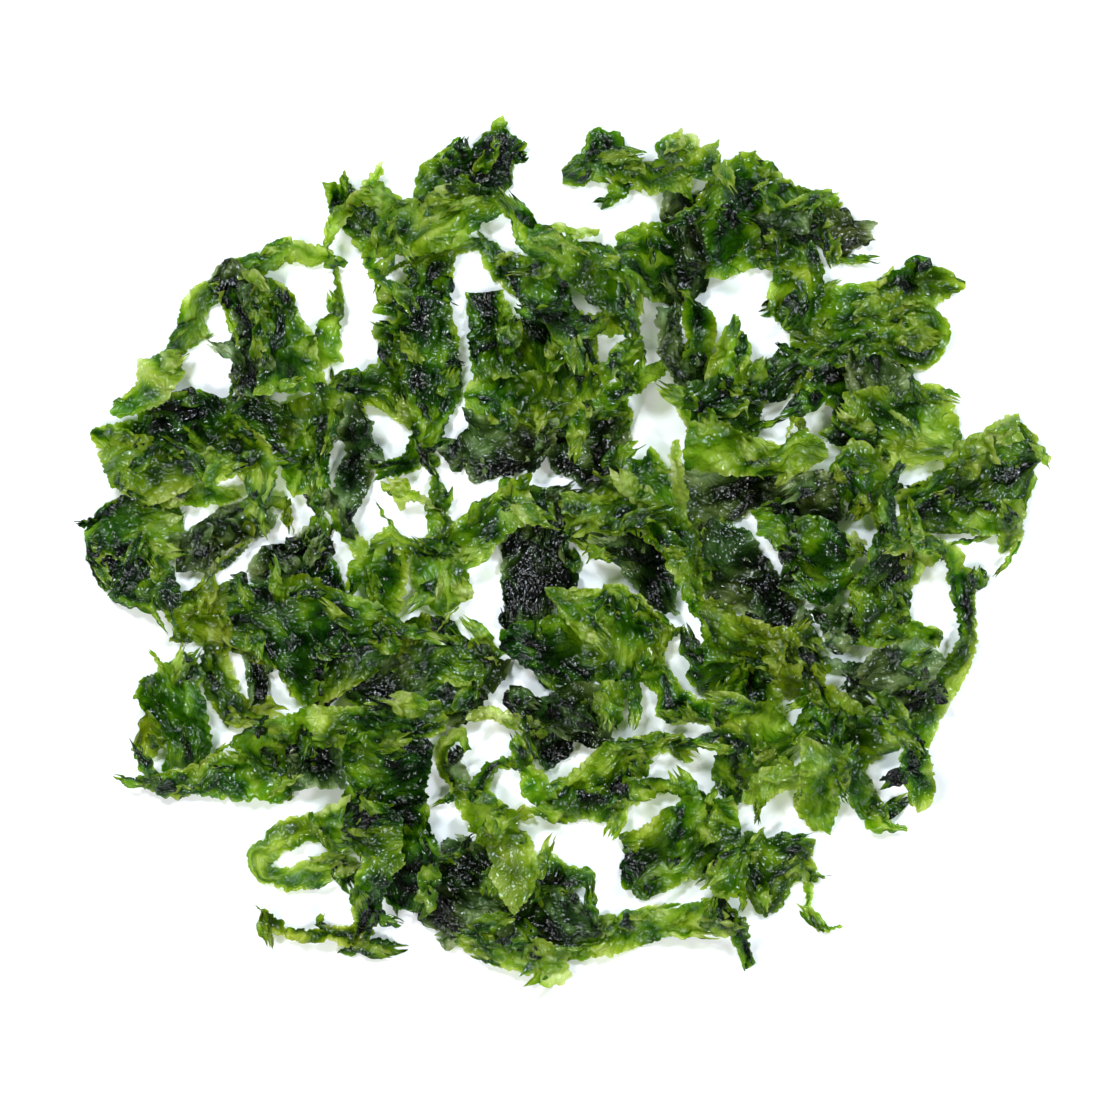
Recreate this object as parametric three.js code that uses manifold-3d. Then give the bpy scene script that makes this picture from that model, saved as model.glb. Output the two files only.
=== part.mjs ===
// A portion of soaked sea lettuce, a green seaweed, spread as one tangled round mat on a flat surface.
// It is made of torn fronds. Each frond is one named mesh: a thin waved blade with its side lobes,
// torn strips and teeth grown into it. The fronds lie over and under each other and don't cut each other.
// Units are millimetres, +Z is up, and the origin is on the surface, under the middle of the mat.
import * as THREE from "three";
import Module from "manifold-3d";

// Driving dimensions
const MAT_WIDTH = 186; // across the mat, left to right
const MAT_WIDTH_PX = 957; // the same width in the photograph, in its pixels
const MAT_CENTRE_PX = [562.94, 550.58]; // the middle of the mat in the photograph
const BLADE = 1; // thickness of a blade, measured straight up
const CLEARANCE = 0.45; // air between a frond and what it lies on
const FACET = 4.2; // usual length of a facet's side
const SLIVER = 0.05; // facets thinner than this are merged into their neighbours

// How a blade waves
const WAVE_LENGTH = 11;
const WAVE_HEIGHT = 3.2;
const MARGIN_RUFFLE = 1.6;
const TOOTH_DEPTH = 0.7;
const TOOTH_PITCH = 5.3;
const STEEPEST = 1.1; // the steepest slope that a facet's side may have
const JITTER = 0.14; // how far a point inside a blade strays, as a share of the facet's width
const SETTLE_STEPS = 20;
const ROOT_BLEND = 7; // length over which a side lobe rises out of its frond
const ROOT_SINK = 0.5; // how deep its root sits, as a share of the blade

// The height map that each new frond is laid over
const CELL = 0.75;
const MAP_HALF = 115;
const MAP_SIDE = Math.ceil(2 * MAP_HALF / CELL) + 1;

const MM_PER_PX = MAT_WIDTH / MAT_WIDTH_PX;
const GOLDEN_ANGLE = 2.39996;

const TONES = {
  pale: { color: 0x8fae2a, roughness: 0.3 },
  bright: { color: 0x4f8a12, roughness: 0.3 },
  green: { color: 0x2c640f, roughness: 0.3 },
  deep: { color: 0x17400e, roughness: 0.28 },
  dark: { color: 0x101d0f, roughness: 0.32 },
  olive: { color: 0x5d6410, roughness: 0.32 },
};

// The fronds, from the lowest to the highest. A frond is a list of lobes, and the first lobe is its main
// blade. A lobe is its tone, then stations along it: the left and right edge as [x, y, x, y] in pixels of
// the photograph. Every later lobe starts on the frond's earlier ones, so that it grows out of them.
const FRONDS = {
  west_underleaf: [
    ["olive", [165, 598, 172, 643], [186, 590, 196, 643], [210, 582, 216, 656], [250, 588, 250, 656]],
    ["olive", [200, 636, 236, 636], [202, 668, 233, 664], [207, 696, 241, 694], [223, 725, 255, 717]],
    ["dark", [241, 646, 264, 650], [244, 680, 266, 682], [247, 719, 263, 717]],
  ],
  west_mass: [
    ["deep", [85, 522, 84, 566], [104, 506, 96, 593], [128, 499, 120, 576], [152, 496, 146, 568]],
    ["deep", [126, 556, 152, 552], [118, 580, 174, 568], [112, 604, 186, 600], [150, 613, 176, 611]],
    ["green", [140, 502, 140, 546], [158, 493, 160, 552], [184, 497, 186, 546]],
    ["pale", [158, 494, 158, 512], [182, 486, 182, 507], [212, 484, 214, 504], [242, 487, 242, 501]],
    ["dark", [166, 534, 178, 566], [186, 530, 206, 568], [206, 518, 226, 552], [226, 504, 256, 538],
      [250, 496, 276, 516]],
    ["olive", [256, 500, 260, 514], [280, 497, 278, 509], [298, 504, 287, 512], [293, 523, 277, 520]],
    ["olive", [240, 520, 258, 532], [232, 548, 246, 550], [216, 560, 226, 567], [203, 570, 208, 579]],
  ],
  north_curtain: [
    ["deep", [404, 262, 452, 250], [403, 280, 449, 278], [400, 302, 446, 306], [398, 332, 440, 336]],
    ["green", [410, 256, 420, 268], [440, 243, 447, 258], [470, 234, 470, 249], [493, 237, 481, 253],
      [511, 250, 485, 270], [525, 267, 500, 283], [533, 290, 513, 296]],
  ],
  west_fan: [
    ["bright", [254, 418, 333, 388], [270, 441, 337, 418], [281, 463, 333, 446], [289, 481, 327, 471],
      [294, 499, 321, 490]],
    ["green", [316, 392, 330, 408], [344, 372, 346, 405], [370, 362, 372, 409], [397, 356, 397, 421],
      [419, 384, 415, 429]],
  ],
  west_shoulder: [
    ["green", [98, 446, 114, 491], [130, 441, 136, 501], [162, 438, 166, 495], [192, 442, 197, 490],
      [202, 462, 207, 484]],
    ["green", [140, 420, 140, 452], [115, 420, 112, 449], [93, 424, 90, 447]],
    ["deep", [134, 412, 139, 452], [160, 397, 170, 449], [190, 388, 200, 445], [226, 396, 226, 443],
      [252, 395, 262, 443], [276, 403, 285, 457]],
    ["green", [188, 428, 190, 444], [215, 424, 212, 457], [245, 422, 236, 469], [275, 445, 243, 483],
      [277, 477, 242, 497], [269, 503, 240, 507]],
    ["green", [184, 452, 190, 472], [200, 456, 197, 471], [207, 460, 206, 472]],
  ],
  northwest_column: [
    ["dark", [212, 265, 243, 256], [208, 286, 251, 276], [222, 303, 255, 302], [233, 332, 263, 330],
      [229, 366, 265, 364], [235, 401, 265, 400]],
    ["green", [244, 276, 282, 279], [249, 300, 292, 293], [254, 328, 307, 322], [257, 360, 321, 362],
      [261, 399, 331, 388]],
    ["bright", [232, 262, 240, 276], [262, 246, 262, 272], [276, 239, 280, 270], [294, 238, 298, 265],
      [313, 243, 314, 264], [332, 249, 331, 257]],
    ["green", [216, 290, 230, 298], [224, 318, 233, 317], [234, 344, 241, 343]],
    ["green", [306, 356, 318, 372], [306, 342, 338, 358], [310, 326, 342, 342], [326, 316, 343, 322],
      [332, 304, 344, 304], [333, 286, 341, 284], [330, 266, 336, 265], [325, 249, 331, 248]],
    ["bright", [224, 282, 224, 300], [206, 282, 209, 304], [187, 291, 208, 322], [174, 324, 194, 340],
      [159, 350, 187, 356], [139, 362, 180, 388], [136, 388, 158, 402], [107, 400, 121, 421]],
  ],
  purple_strand: [
    ["dark", [335, 519, 333, 553], [310, 523, 317, 563], [286, 540, 297, 578], [262, 551, 273, 585],
      [243, 570, 252, 585]],
    ["deep", [330, 532, 310, 548], [323, 512, 305, 530], [328, 498, 314, 506]],
    ["deep", [288, 552, 290, 572], [320, 560, 320, 591], [341, 571, 335, 599], [347, 592, 343, 603]],
  ],
  west_strap: [
    ["green", [307, 385, 343, 392], [316, 412, 331, 414], [318, 450, 330, 450], [318, 488, 330, 488],
      [325, 514, 343, 508], [336, 535, 353, 528], [353, 553, 375, 547], [347, 574, 367, 580],
      [346, 592, 353, 594]],
    ["dark", [343, 538, 359, 536], [341, 522, 355, 524], [335, 502, 357, 502], [332, 480, 367, 483],
      [338, 456, 373, 452], [342, 430, 375, 424], [345, 403, 363, 405]],
  ],
  sleeve: [
    ["deep", [398, 291, 439, 293], [397, 322, 457, 315], [400, 352, 459, 348], [403, 382, 457, 380],
      [410, 412, 453, 417], [412, 436, 445, 441], [404, 454, 421, 465], [388, 459, 398, 475],
      [367, 464, 373, 481]],
    ["green", [408, 298, 408, 322], [389, 290, 389, 315], [376, 286, 375, 312]],
    ["green", [410, 328, 414, 366], [391, 321, 393, 354], [373, 320, 376, 342]],
  ],
  north_blade: [
    ["bright", [499, 185, 509, 207], [470, 183, 487, 223], [440, 185, 457, 243], [412, 194, 416, 257],
      [390, 206, 390, 258], [371, 223, 369, 253]],
    ["bright", [378, 238, 366, 244], [376, 262, 362, 264], [389, 278, 375, 281], [405, 291, 393, 297]],
    ["deep", [396, 214, 384, 248], [378, 214, 368, 246], [364, 204, 350, 234], [356, 187, 332, 208],
      [347, 170, 323, 187]],
    ["pale", [338, 212, 356, 214], [350, 194, 366, 200], [366, 175, 379, 187], [383, 159, 387, 170]],
    ["green", [344, 200, 356, 210], [331, 214, 344, 228], [324, 234, 334, 239], [322, 249, 329, 251]],
    ["deep", [410, 196, 430, 210], [418, 169, 453, 197], [440, 159, 483, 192], [462, 149, 506, 187],
      [482, 130, 514, 165], [505, 116, 526, 146]],
  ],
  column: [
    ["dark", [528, 484, 579, 492], [514, 515, 581, 520], [504, 550, 573, 552], [500, 580, 574, 581],
      [502, 609, 561, 606], [511, 630, 546, 623]],
    ["green", [562, 500, 562, 538], [585, 497, 581, 550], [602, 505, 593, 542]],
  ],
  pouch_right_flap: [
    ["dark", [577, 411, 547, 447], [603, 415, 555, 471], [625, 428, 575, 481], [631, 450, 602, 487],
      [619, 473, 609, 485]],
    ["deep", [600, 434, 624, 438], [604, 408, 631, 412], [612, 396, 631, 399]],
    ["olive", [596, 470, 582, 478], [618, 480, 602, 499], [642, 486, 632, 504]],
  ],
  pouch_lip: [
    ["dark", [466, 410, 459, 453], [483, 412, 474, 478], [507, 414, 502, 479], [537, 414, 532, 473],
      [563, 420, 551, 451]],
    ["bright", [478, 428, 556, 432], [469, 404, 592, 416], [470, 388, 592, 390], [476, 371, 586, 358]],
  ],
  pouch_back: [
    ["deep", [463, 297, 501, 287], [469, 322, 513, 318], [471, 352, 509, 350], [473, 376, 514, 378]],
    ["deep", [498, 316, 560, 310], [496, 340, 571, 336], [499, 358, 573, 356], [514, 372, 562, 372]],
  ],
  pouch_collar: [
    ["deep", [553, 255, 500, 272], [559, 280, 520, 303], [575, 308, 544, 323], [595, 318, 562, 347],
      [599, 352, 572, 375], [601, 393, 574, 405]],
    ["green", [588, 382, 594, 406], [607, 385, 613, 409], [627, 377, 633, 399], [645, 369, 649, 389],
      [659, 359, 664, 377], [663, 344, 670, 348]],
    ["bright", [584, 318, 584, 338], [605, 314, 605, 339], [619, 318, 617, 333], [628, 324, 627, 331]],
  ],
  north_long_strand: [
    ["green", [498, 185, 499, 203], [523, 213, 511, 227], [547, 227, 520, 251], [575, 235, 550, 265],
      [595, 251, 568, 283], [615, 271, 584, 301], [633, 286, 606, 315], [639, 312, 621, 314],
      [643, 340, 631, 346], [648, 361, 637, 369]],
    ["green", [644, 346, 636, 362], [628, 350, 631, 362], [612, 359, 617, 372], [593, 368, 600, 385]],
    ["pale", [574, 246, 558, 256], [582, 238, 566, 236], [590, 238, 584, 226], [599, 233, 597, 227]],
  ],
  northeast_wad: [
    ["dark", [669, 195, 709, 195], [658, 216, 711, 224], [661, 246, 715, 254], [671, 276, 707, 276],
      [667, 303, 697, 301]],
    ["deep", [676, 232, 676, 300], [652, 221, 652, 300], [632, 225, 632, 284], [613, 238, 607, 275]],
  ],
  northeast_blade: [
    ["green", [699, 195, 705, 281], [724, 165, 736, 278], [752, 151, 764, 259], [781, 169, 788, 249],
      [803, 183, 814, 243], [825, 189, 833, 230], [844, 194, 843, 203]],
    ["dark", [752, 216, 764, 246], [776, 206, 784, 240], [802, 202, 808, 242], [831, 207, 836, 260],
      [857, 216, 859, 246], [877, 223, 874, 241]],
    ["deep", [824, 236, 844, 238], [829, 264, 839, 266]],
  ],
  northeast_wing: [
    ["green", [559, 167, 567, 181], [576, 153, 580, 187], [592, 133, 600, 175], [613, 126, 613, 179],
      [629, 149, 631, 185], [650, 156, 651, 194], [673, 153, 673, 198], [697, 157, 695, 203]],
    ["green", [626, 166, 636, 182], [611, 180, 622, 195], [602, 203, 607, 207]],
    ["pale", [664, 172, 698, 178], [661, 148, 707, 158], [660, 133, 700, 142], [682, 126, 690, 130]],
    ["bright", [686, 168, 702, 184], [702, 148, 724, 172], [716, 144, 724, 158]],
  ],
  northeast_horn_blade: [
    ["green", [799, 297, 793, 357], [830, 288, 830, 361], [860, 280, 862, 359], [888, 273, 892, 357],
      [909, 273, 903, 331]],
    ["green", [880, 274, 884, 306], [906, 269, 910, 307], [931, 264, 931, 304], [953, 271, 947, 295],
      [969, 281, 955, 293]],
    ["deep", [892, 298, 892, 320], [930, 298, 916, 320], [950, 324, 930, 334], [943, 351, 924, 338],
      [924, 364, 914, 338], [898, 364, 898, 330], [880, 352, 884, 334]],
    ["deep", [797, 336, 816, 344], [776, 318, 812, 324], [767, 292, 818, 298], [779, 266, 826, 270],
      [785, 246, 813, 243]],
  ],
  middle_v_leaf: [
    ["dark", [653, 312, 683, 298], [658, 340, 684, 336], [664, 366, 696, 358], [675, 393, 716, 373],
      [689, 405, 719, 393]],
    ["deep", [684, 368, 706, 372], [684, 344, 714, 340], [683, 320, 708, 315], [682, 301, 690, 299]],
    ["pale", [676, 384, 692, 392], [677, 405, 692, 404], [685, 426, 697, 422], [689, 447, 703, 443]],
  ],
  middle_spiky_leaf: [
    ["green", [689, 384, 689, 433], [716, 377, 718, 435], [743, 383, 747, 433], [767, 397, 761, 427]],
    ["bright", [708, 392, 758, 396], [711, 364, 755, 364], [719, 342, 747, 339], [732, 318, 738, 320]],
    ["deep", [742, 382, 744, 402], [763, 367, 763, 403], [785, 348, 789, 399], [805, 350, 805, 381]],
  ],
  east_brown_leaf: [
    ["deep", [801, 359, 799, 387], [824, 357, 822, 399], [849, 361, 832, 409], [863, 388, 831, 429],
      [871, 416, 821, 443]],
    ["olive", [814, 372, 802, 370], [806, 386, 793, 390], [800, 404, 788, 402], [804, 420, 792, 421],
      [816, 432, 805, 439]],
  ],
  east_plume: [
    ["bright", [907, 375, 848, 396], [927, 391, 852, 427], [951, 404, 872, 451], [965, 426, 906, 465],
      [961, 441, 944, 459]],
    ["dark", [858, 404, 900, 402], [845, 378, 911, 382], [848, 353, 894, 359]],
    ["deep", [878, 436, 872, 456], [852, 424, 838, 446], [836, 411, 817, 437]],
  ],
  east_band: [
    ["dark", [680, 461, 685, 523], [710, 465, 714, 531], [742, 469, 748, 517], [772, 473, 778, 507],
      [802, 471, 808, 523], [834, 467, 839, 517]],
    ["green", [826, 472, 826, 502], [852, 442, 848, 503], [877, 458, 866, 520], [891, 468, 885, 500]],
    ["olive", [860, 494, 882, 492], [872, 518, 886, 514], [881, 541, 893, 538]],
  ],
  pale_fold: [
    ["bright", [690, 427, 684, 467], [716, 420, 716, 471], [743, 430, 747, 473], [773, 439, 777, 479],
      [803, 436, 803, 473], [825, 443, 821, 467]],
  ],
  centre_dark_leaf: [
    ["dark", [717, 518, 686, 546], [744, 533, 700, 581], [771, 558, 724, 605], [793, 590, 754, 625],
      [809, 620, 780, 643], [821, 650, 809, 657]],
    ["dark", [808, 636, 800, 652], [823, 652, 820, 665], [847, 660, 846, 672], [865, 661, 865, 676]],
  ],
  east_knobs: [
    ["deep", [787, 527, 783, 593], [815, 517, 816, 603], [841, 533, 843, 593], [857, 545, 853, 577]],
    ["deep", [796, 524, 796, 558], [775, 498, 776, 547], [755, 509, 757, 541]],
    ["pale", [840, 538, 844, 568], [858, 531, 862, 557], [870, 544, 869, 550]],
  ],
  feather_leaf: [
    ["green", [560, 489, 565, 517], [592, 497, 598, 525], [625, 496, 625, 522], [657, 499, 650, 525],
      [685, 517, 668, 537], [703, 550, 688, 563], [715, 587, 700, 598]],
    ["bright", [660, 520, 686, 526], [644, 505, 685, 500], [632, 484, 664, 471], [627, 462, 653, 448]],
    ["pale", [674, 504, 690, 512], [669, 478, 685, 484], [666, 458, 679, 462], [670, 442, 677, 445]],
  ],
  centre_ridge: [
    ["dark", [601, 527, 611, 565], [630, 525, 636, 591], [657, 541, 660, 609], [677, 566, 679, 615]],
    ["green", [602, 524, 606, 538], [630, 517, 628, 534], [661, 526, 650, 548], [683, 547, 668, 565],
      [698, 571, 681, 593], [709, 600, 687, 613], [715, 621, 700, 632], [728, 650, 715, 658]],
  ],
  southeast_sheet: [
    ["olive", [707, 598, 700, 621], [737, 609, 722, 649], [767, 623, 748, 671], [803, 643, 782, 693],
      [829, 663, 817, 705]],
    ["deep", [746, 654, 740, 668], [722, 648, 728, 690], [702, 642, 704, 694], [688, 652, 688, 674]],
    ["deep", [744, 652, 768, 662], [728, 672, 780, 690], [718, 694, 776, 714]],
  ],
  east_column: [
    ["deep", [873, 532, 907, 535], [868, 556, 923, 560], [850, 585, 913, 591], [853, 606, 913, 606]],
    ["pale", [902, 548, 904, 572], [925, 541, 925, 569], [944, 553, 941, 566]],
    ["green", [846, 592, 850, 642], [871, 596, 873, 646], [896, 609, 896, 642], [921, 621, 923, 642],
      [942, 629, 940, 643]],
    ["dark", [856, 606, 858, 638], [836, 606, 842, 652], [814, 612, 822, 646]],
  ],
  east_blade: [
    ["green", [896, 494, 904, 533], [925, 474, 932, 533], [956, 451, 962, 536], [985, 436, 990, 534],
      [1011, 419, 1013, 527], [1037, 424, 1030, 507], [1042, 438, 1037, 480]],
    ["bright", [1004, 500, 1030, 500], [1001, 530, 1028, 531], [1002, 554, 1014, 549]],
    ["pale", [980, 452, 1000, 464], [976, 436, 992, 432], [996, 420, 1000, 446], [1020, 415, 1024, 440]],
  ],
  east_long_arc: [
    ["green", [880, 524, 883, 537], [906, 529, 905, 543], [936, 534, 935, 551], [957, 550, 944, 571],
      [974, 575, 951, 593], [980, 610, 959, 616], [977, 646, 956, 641], [966, 677, 939, 669],
      [946, 716, 920, 697], [926, 751, 904, 730]],
    ["deep", [896, 534, 884, 530], [898, 516, 880, 520], [888, 499, 874, 500], [895, 480, 883, 481],
      [905, 464, 892, 465]],
  ],
  dark_disc: [
    ["dark", [857, 667, 861, 691], [880, 644, 880, 702], [906, 642, 906, 714], [927, 644, 926, 697],
      [944, 660, 936, 687]],
    ["dark", [868, 672, 872, 692], [852, 682, 858, 696], [840, 690, 842, 698]],
  ],
  centre_left_ribbon: [
    ["green", [370, 533, 371, 554], [390, 527, 396, 555], [414, 538, 422, 559], [443, 535, 453, 561],
      [470, 507, 482, 551], [500, 487, 512, 533], [533, 473, 537, 515]],
    ["green", [426, 550, 450, 548], [424, 520, 451, 522], [426, 500, 449, 500], [431, 471, 438, 471]],
    ["pale", [432, 498, 438, 514], [414, 489, 414, 505], [395, 483, 397, 507]],
    ["bright", [376, 544, 410, 546], [369, 575, 408, 575], [371, 601, 401, 603], [386, 623, 396, 617]],
    ["bright", [416, 550, 456, 550], [410, 575, 466, 572], [418, 598, 465, 597], [442, 618, 452, 615]],
  ],
  centre_pipe: [
    ["dark", [511, 664, 487, 651], [501, 683, 478, 668], [481, 707, 462, 684], [458, 733, 437, 706]],
    ["green", [472, 684, 464, 706], [447, 672, 446, 711], [423, 686, 427, 707]],
    ["bright", [506, 652, 498, 668], [486, 639, 488, 659], [467, 635, 471, 655]],
    ["green", [490, 654, 484, 676], [456, 639, 456, 689], [426, 629, 426, 683], [400, 640, 399, 675]],
    ["dark", [414, 648, 412, 690], [391, 649, 392, 705], [366, 653, 364, 709], [345, 667, 345, 699]],
    ["olive", [420, 646, 404, 642], [430, 630, 403, 622], [433, 614, 414, 615]],
  ],
  webbed_blade: [
    ["deep", [225, 583, 233, 641], [260, 579, 268, 665], [300, 579, 296, 703], [341, 589, 336, 695],
      [377, 600, 372, 671], [402, 621, 397, 653]],
  ],
  centre_froth: [
    ["deep", [499, 633, 505, 657], [520, 620, 530, 669], [545, 615, 556, 683], [573, 612, 581, 685],
      [600, 625, 602, 669]],
  ],
  centre_arch: [
    ["green", [603, 597, 643, 595], [600, 626, 665, 622], [605, 652, 671, 646], [605, 684, 653, 683]],
    ["bright", [640, 602, 620, 616], [618, 581, 608, 605], [596, 585, 596, 619], [574, 587, 573, 627],
      [547, 587, 551, 605]],
    ["bright", [654, 618, 656, 642], [684, 629, 682, 636]],
  ],
  centre_low_leaf: [
    ["dark", [504, 687, 509, 715], [530, 697, 532, 733], [560, 689, 562, 741], [590, 687, 594, 749],
      [615, 697, 617, 743]],
    ["green", [598, 722, 618, 726], [599, 700, 625, 702], [599, 679, 629, 684]],
    ["pale", [546, 722, 540, 742], [516, 714, 512, 729], [490, 706, 490, 718], [467, 713, 473, 725]],
    ["dark", [542, 722, 570, 732], [526, 736, 568, 753], [536, 762, 556, 772]],
  ],
  centre_wing: [
    ["bright", [643, 741, 651, 767], [616, 741, 620, 793], [590, 753, 590, 807], [564, 773, 564, 815],
      [539, 788, 545, 804]],
    ["deep", [560, 790, 618, 782], [555, 812, 627, 806], [574, 823, 611, 823]],
    ["bright", [626, 742, 628, 764], [655, 733, 656, 757], [683, 741, 677, 753]],
    ["bright", [620, 752, 642, 750], [636, 778, 651, 772]],
    ["green", [608, 790, 612, 812], [642, 783, 646, 803], [667, 781, 669, 794], [688, 791, 689, 797]],
  ],
  south_fold: [
    ["green", [646, 667, 640, 683], [673, 671, 661, 697], [688, 689, 659, 723], [706, 704, 700, 725],
      [727, 711, 722, 737]],
  ],
  south_bumpy_leaf: [
    ["bright", [722, 712, 714, 738], [757, 703, 736, 781], [782, 711, 766, 791], [802, 724, 787, 767]],
    ["deep", [724, 738, 752, 746], [709, 766, 742, 770], [715, 790, 746, 792], [729, 803, 746, 804]],
  ],
  southeast_froth: [
    ["green", [799, 689, 794, 747], [825, 684, 822, 757], [851, 699, 848, 767], [881, 704, 873, 767],
      [906, 724, 896, 752]],
  ],
  southeast_drape: [
    ["bright", [796, 738, 838, 744], [799, 770, 850, 770], [797, 802, 842, 806], [812, 832, 834, 834]],
    ["bright", [806, 762, 806, 788], [778, 763, 778, 792], [756, 770, 764, 800],
      [742, 800, 758, 820]],
    ["green", [836, 760, 872, 758], [844, 790, 874, 790], [855, 813, 886, 809], [872, 831, 894, 822],
      [906, 833, 903, 826]],
  ],
  southeast_finger: [
    ["deep", [867, 691, 886, 688], [884, 720, 907, 714], [900, 750, 924, 744], [903, 776, 932, 780],
      [908, 807, 930, 812]],
  ],
  south_pointed_blade: [
    ["green", [741, 837, 744, 896], [770, 831, 770, 919], [796, 837, 796, 892], [814, 844, 818, 882]],
    ["bright", [800, 870, 814, 874], [807, 905, 815, 905], [810, 922, 818, 917], [825, 937, 828, 927],
      [842, 929, 840, 924]],
  ],
  south_broad_blade: [
    ["green", [623, 839, 622, 883], [645, 821, 645, 897], [672, 804, 672, 894], [700, 796, 700, 874],
      [737, 796, 737, 860]],
    ["green", [732, 840, 754, 858], [714, 862, 745, 888], [696, 878, 722, 904]],
  ],
  south_long_strand: [
    ["bright", [720, 890, 724, 914], [690, 903, 701, 934], [655, 913, 660, 940], [625, 917, 628, 948],
      [598, 921, 602, 960], [565, 937, 570, 964], [534, 944, 534, 972]],
    ["deep", [712, 900, 728, 900], [718, 930, 746, 924], [734, 946, 753, 941], [742, 960, 755, 966],
      [745, 973, 753, 971]],
  ],
  south_shiny_blade: [
    ["dark", [414, 880, 420, 926], [440, 871, 445, 940], [475, 879, 480, 946], [510, 884, 515, 957],
      [545, 889, 549, 957], [581, 904, 577, 946], [602, 921, 600, 936]],
    ["green", [530, 896, 532, 880], [548, 898, 542, 858], [566, 897, 566, 863], [592, 884, 591, 866]],
    ["bright", [462, 926, 452, 942], [486, 932, 480, 962], [520, 940, 516, 974], [550, 944, 548, 984],
      [570, 946, 572, 980]],
  ],
  south_brown_leaf: [
    ["dark", [439, 834, 441, 881], [465, 839, 465, 892], [492, 847, 496, 897], [522, 868, 522, 907]],
    ["olive", [500, 850, 512, 868], [506, 820, 520, 826], [528, 806, 534, 822]],
  ],
  south_ribbon: [
    ["bright", [472, 752, 462, 752], [469, 731, 460, 741], [448, 730, 454, 745], [435, 750, 447, 758],
      [439, 781, 456, 775], [461, 811, 483, 791], [474, 836, 513, 814], [487, 861, 536, 839],
      [499, 891, 540, 867], [514, 913, 532, 896]],
    ["green", [466, 796, 486, 806], [474, 772, 489, 787], [492, 760, 498, 773], [513, 758, 514, 771],
      [531, 765, 521, 781], [544, 779, 525, 795], [558, 795, 538, 804]],
    ["dark", [456, 792, 468, 784], [446, 774, 464, 772], [450, 756, 462, 756]],
  ],
  southwest_blob: [
    ["green", [137, 679, 179, 659], [137, 702, 202, 690], [150, 716, 206, 715], [158, 741, 209, 746],
      [160, 771, 201, 769]],
    ["deep", [176, 682, 200, 686], [181, 660, 203, 668], [184, 650, 192, 654]],
    ["olive", [160, 724, 162, 746], [146, 712, 146, 762], [130, 741, 134, 752]],
  ],
  southwest_tube: [
    ["green", [132, 778, 140, 786], [160, 771, 165, 798], [195, 764, 195, 799], [230, 753, 232, 799],
      [262, 746, 265, 801], [292, 753, 297, 797]],
    ["deep", [262, 766, 290, 772], [230, 750, 296, 754], [232, 730, 288, 732], [262, 722, 280, 722]],
  ],
  southwest_long_fold: [
    ["green", [264, 720, 268, 737], [300, 713, 305, 747], [335, 706, 340, 747], [370, 706, 376, 747],
      [406, 710, 411, 744], [442, 703, 447, 732]],
    ["dark", [292, 736, 330, 736], [288, 762, 342, 760], [294, 793, 344, 792]],
  ],
  southwest_drape: [
    ["deep", [346, 734, 344, 802], [370, 734, 372, 834], [400, 734, 406, 842], [432, 738, 432, 832]],
    ["deep", [374, 826, 430, 826], [371, 856, 442, 852], [374, 886, 438, 882], [394, 917, 418, 908]],
  ],
  south_ring_leaf: [
    ["bright", [352, 798, 352, 842], [318, 806, 324, 844], [292, 818, 302, 848], [268, 834, 284, 856],
      [242, 864, 268, 864], [262, 888, 274, 868], [292, 890, 292, 864], [320, 886, 314, 862],
      [347, 869, 336, 852]],
    ["deep", [344, 820, 340, 840], [376, 800, 372, 867], [400, 814, 400, 862]],
  ],
  south_leg: [
    ["deep", [358, 858, 401, 860], [356, 886, 387, 892], [354, 916, 379, 916], [351, 936, 376, 931],
      [336, 957, 366, 949]],
    ["olive", [364, 928, 364, 946], [345, 926, 345, 946], [320, 926, 318, 942], [295, 933, 293, 944],
      [281, 924, 275, 933], [268, 911, 261, 926], [253, 904, 255, 912]],
    ["deep", [324, 936, 334, 936], [313, 924, 322, 926], [319, 911, 326, 914]],
  ],
};

const wasm = await Module();
wasm.setup();

const wave = (value, length, phase) => Math.sin(2 * Math.PI * value / length + phase);
const mix = (a, b, share) => a + (b - a) * share;
const clamp01 = (value) => Math.min(1, Math.max(0, value));

// A smooth curve through the stations (Catmull-Rom), at a place counted in stations
function smoothRun(stations, place) {
  const last = stations.length - 1;
  const index = Math.min(Math.floor(place), last - 1);
  const t = place - index;
  return stations[0].map((_, k) => {
    const p1 = stations[index][k];
    const p2 = stations[index + 1][k];
    const p0 = index > 0 ? stations[index - 1][k] : 2 * p1 - p2;
    const p3 = index + 2 <= last ? stations[index + 2][k] : 2 * p2 - p1;
    const bend = 2 * p0 - 5 * p1 + 4 * p2 - p3;
    const twist = 3 * (p1 - p2) + p3 - p0;
    return 0.5 * (2 * p1 + (p2 - p0) * t + bend * t * t + twist * t * t * t);
  });
}

// The places of evenly spaced rows along the middle of a lobe, with its length and its mean width
function evenRows(stations) {
  const steps = 8 * (stations.length - 1);
  const marks = [{ place: 0, length: 0 }];
  let width = 0;
  let previous = null;
  for (let i = 0; i <= steps; i++) {
    const place = i / 8;
    const [ax, ay, bx, by] = smoothRun(stations, place);
    const middle = [(ax + bx) / 2, (ay + by) / 2];
    width += Math.hypot(bx - ax, by - ay) / (steps + 1);
    if (previous) {
      const length = marks.at(-1).length + Math.hypot(middle[0] - previous[0], middle[1] - previous[1]);
      marks.push({ place, length });
    }
    previous = middle;
  }
  const total = marks.at(-1).length;
  const rows = Math.max(2, Math.round(total / FACET));
  const places = [];
  for (let row = 0; row <= rows; row++) {
    const target = total * row / rows;
    const after = Math.max(1, marks.findIndex((mark) => mark.length >= target - 1e-9));
    const [from, to] = [marks[after - 1], marks[after]];
    places.push(mix(from.place, to.place, clamp01((target - from.length) / (to.length - from.length))));
  }
  return { places, total, width };
}

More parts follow.
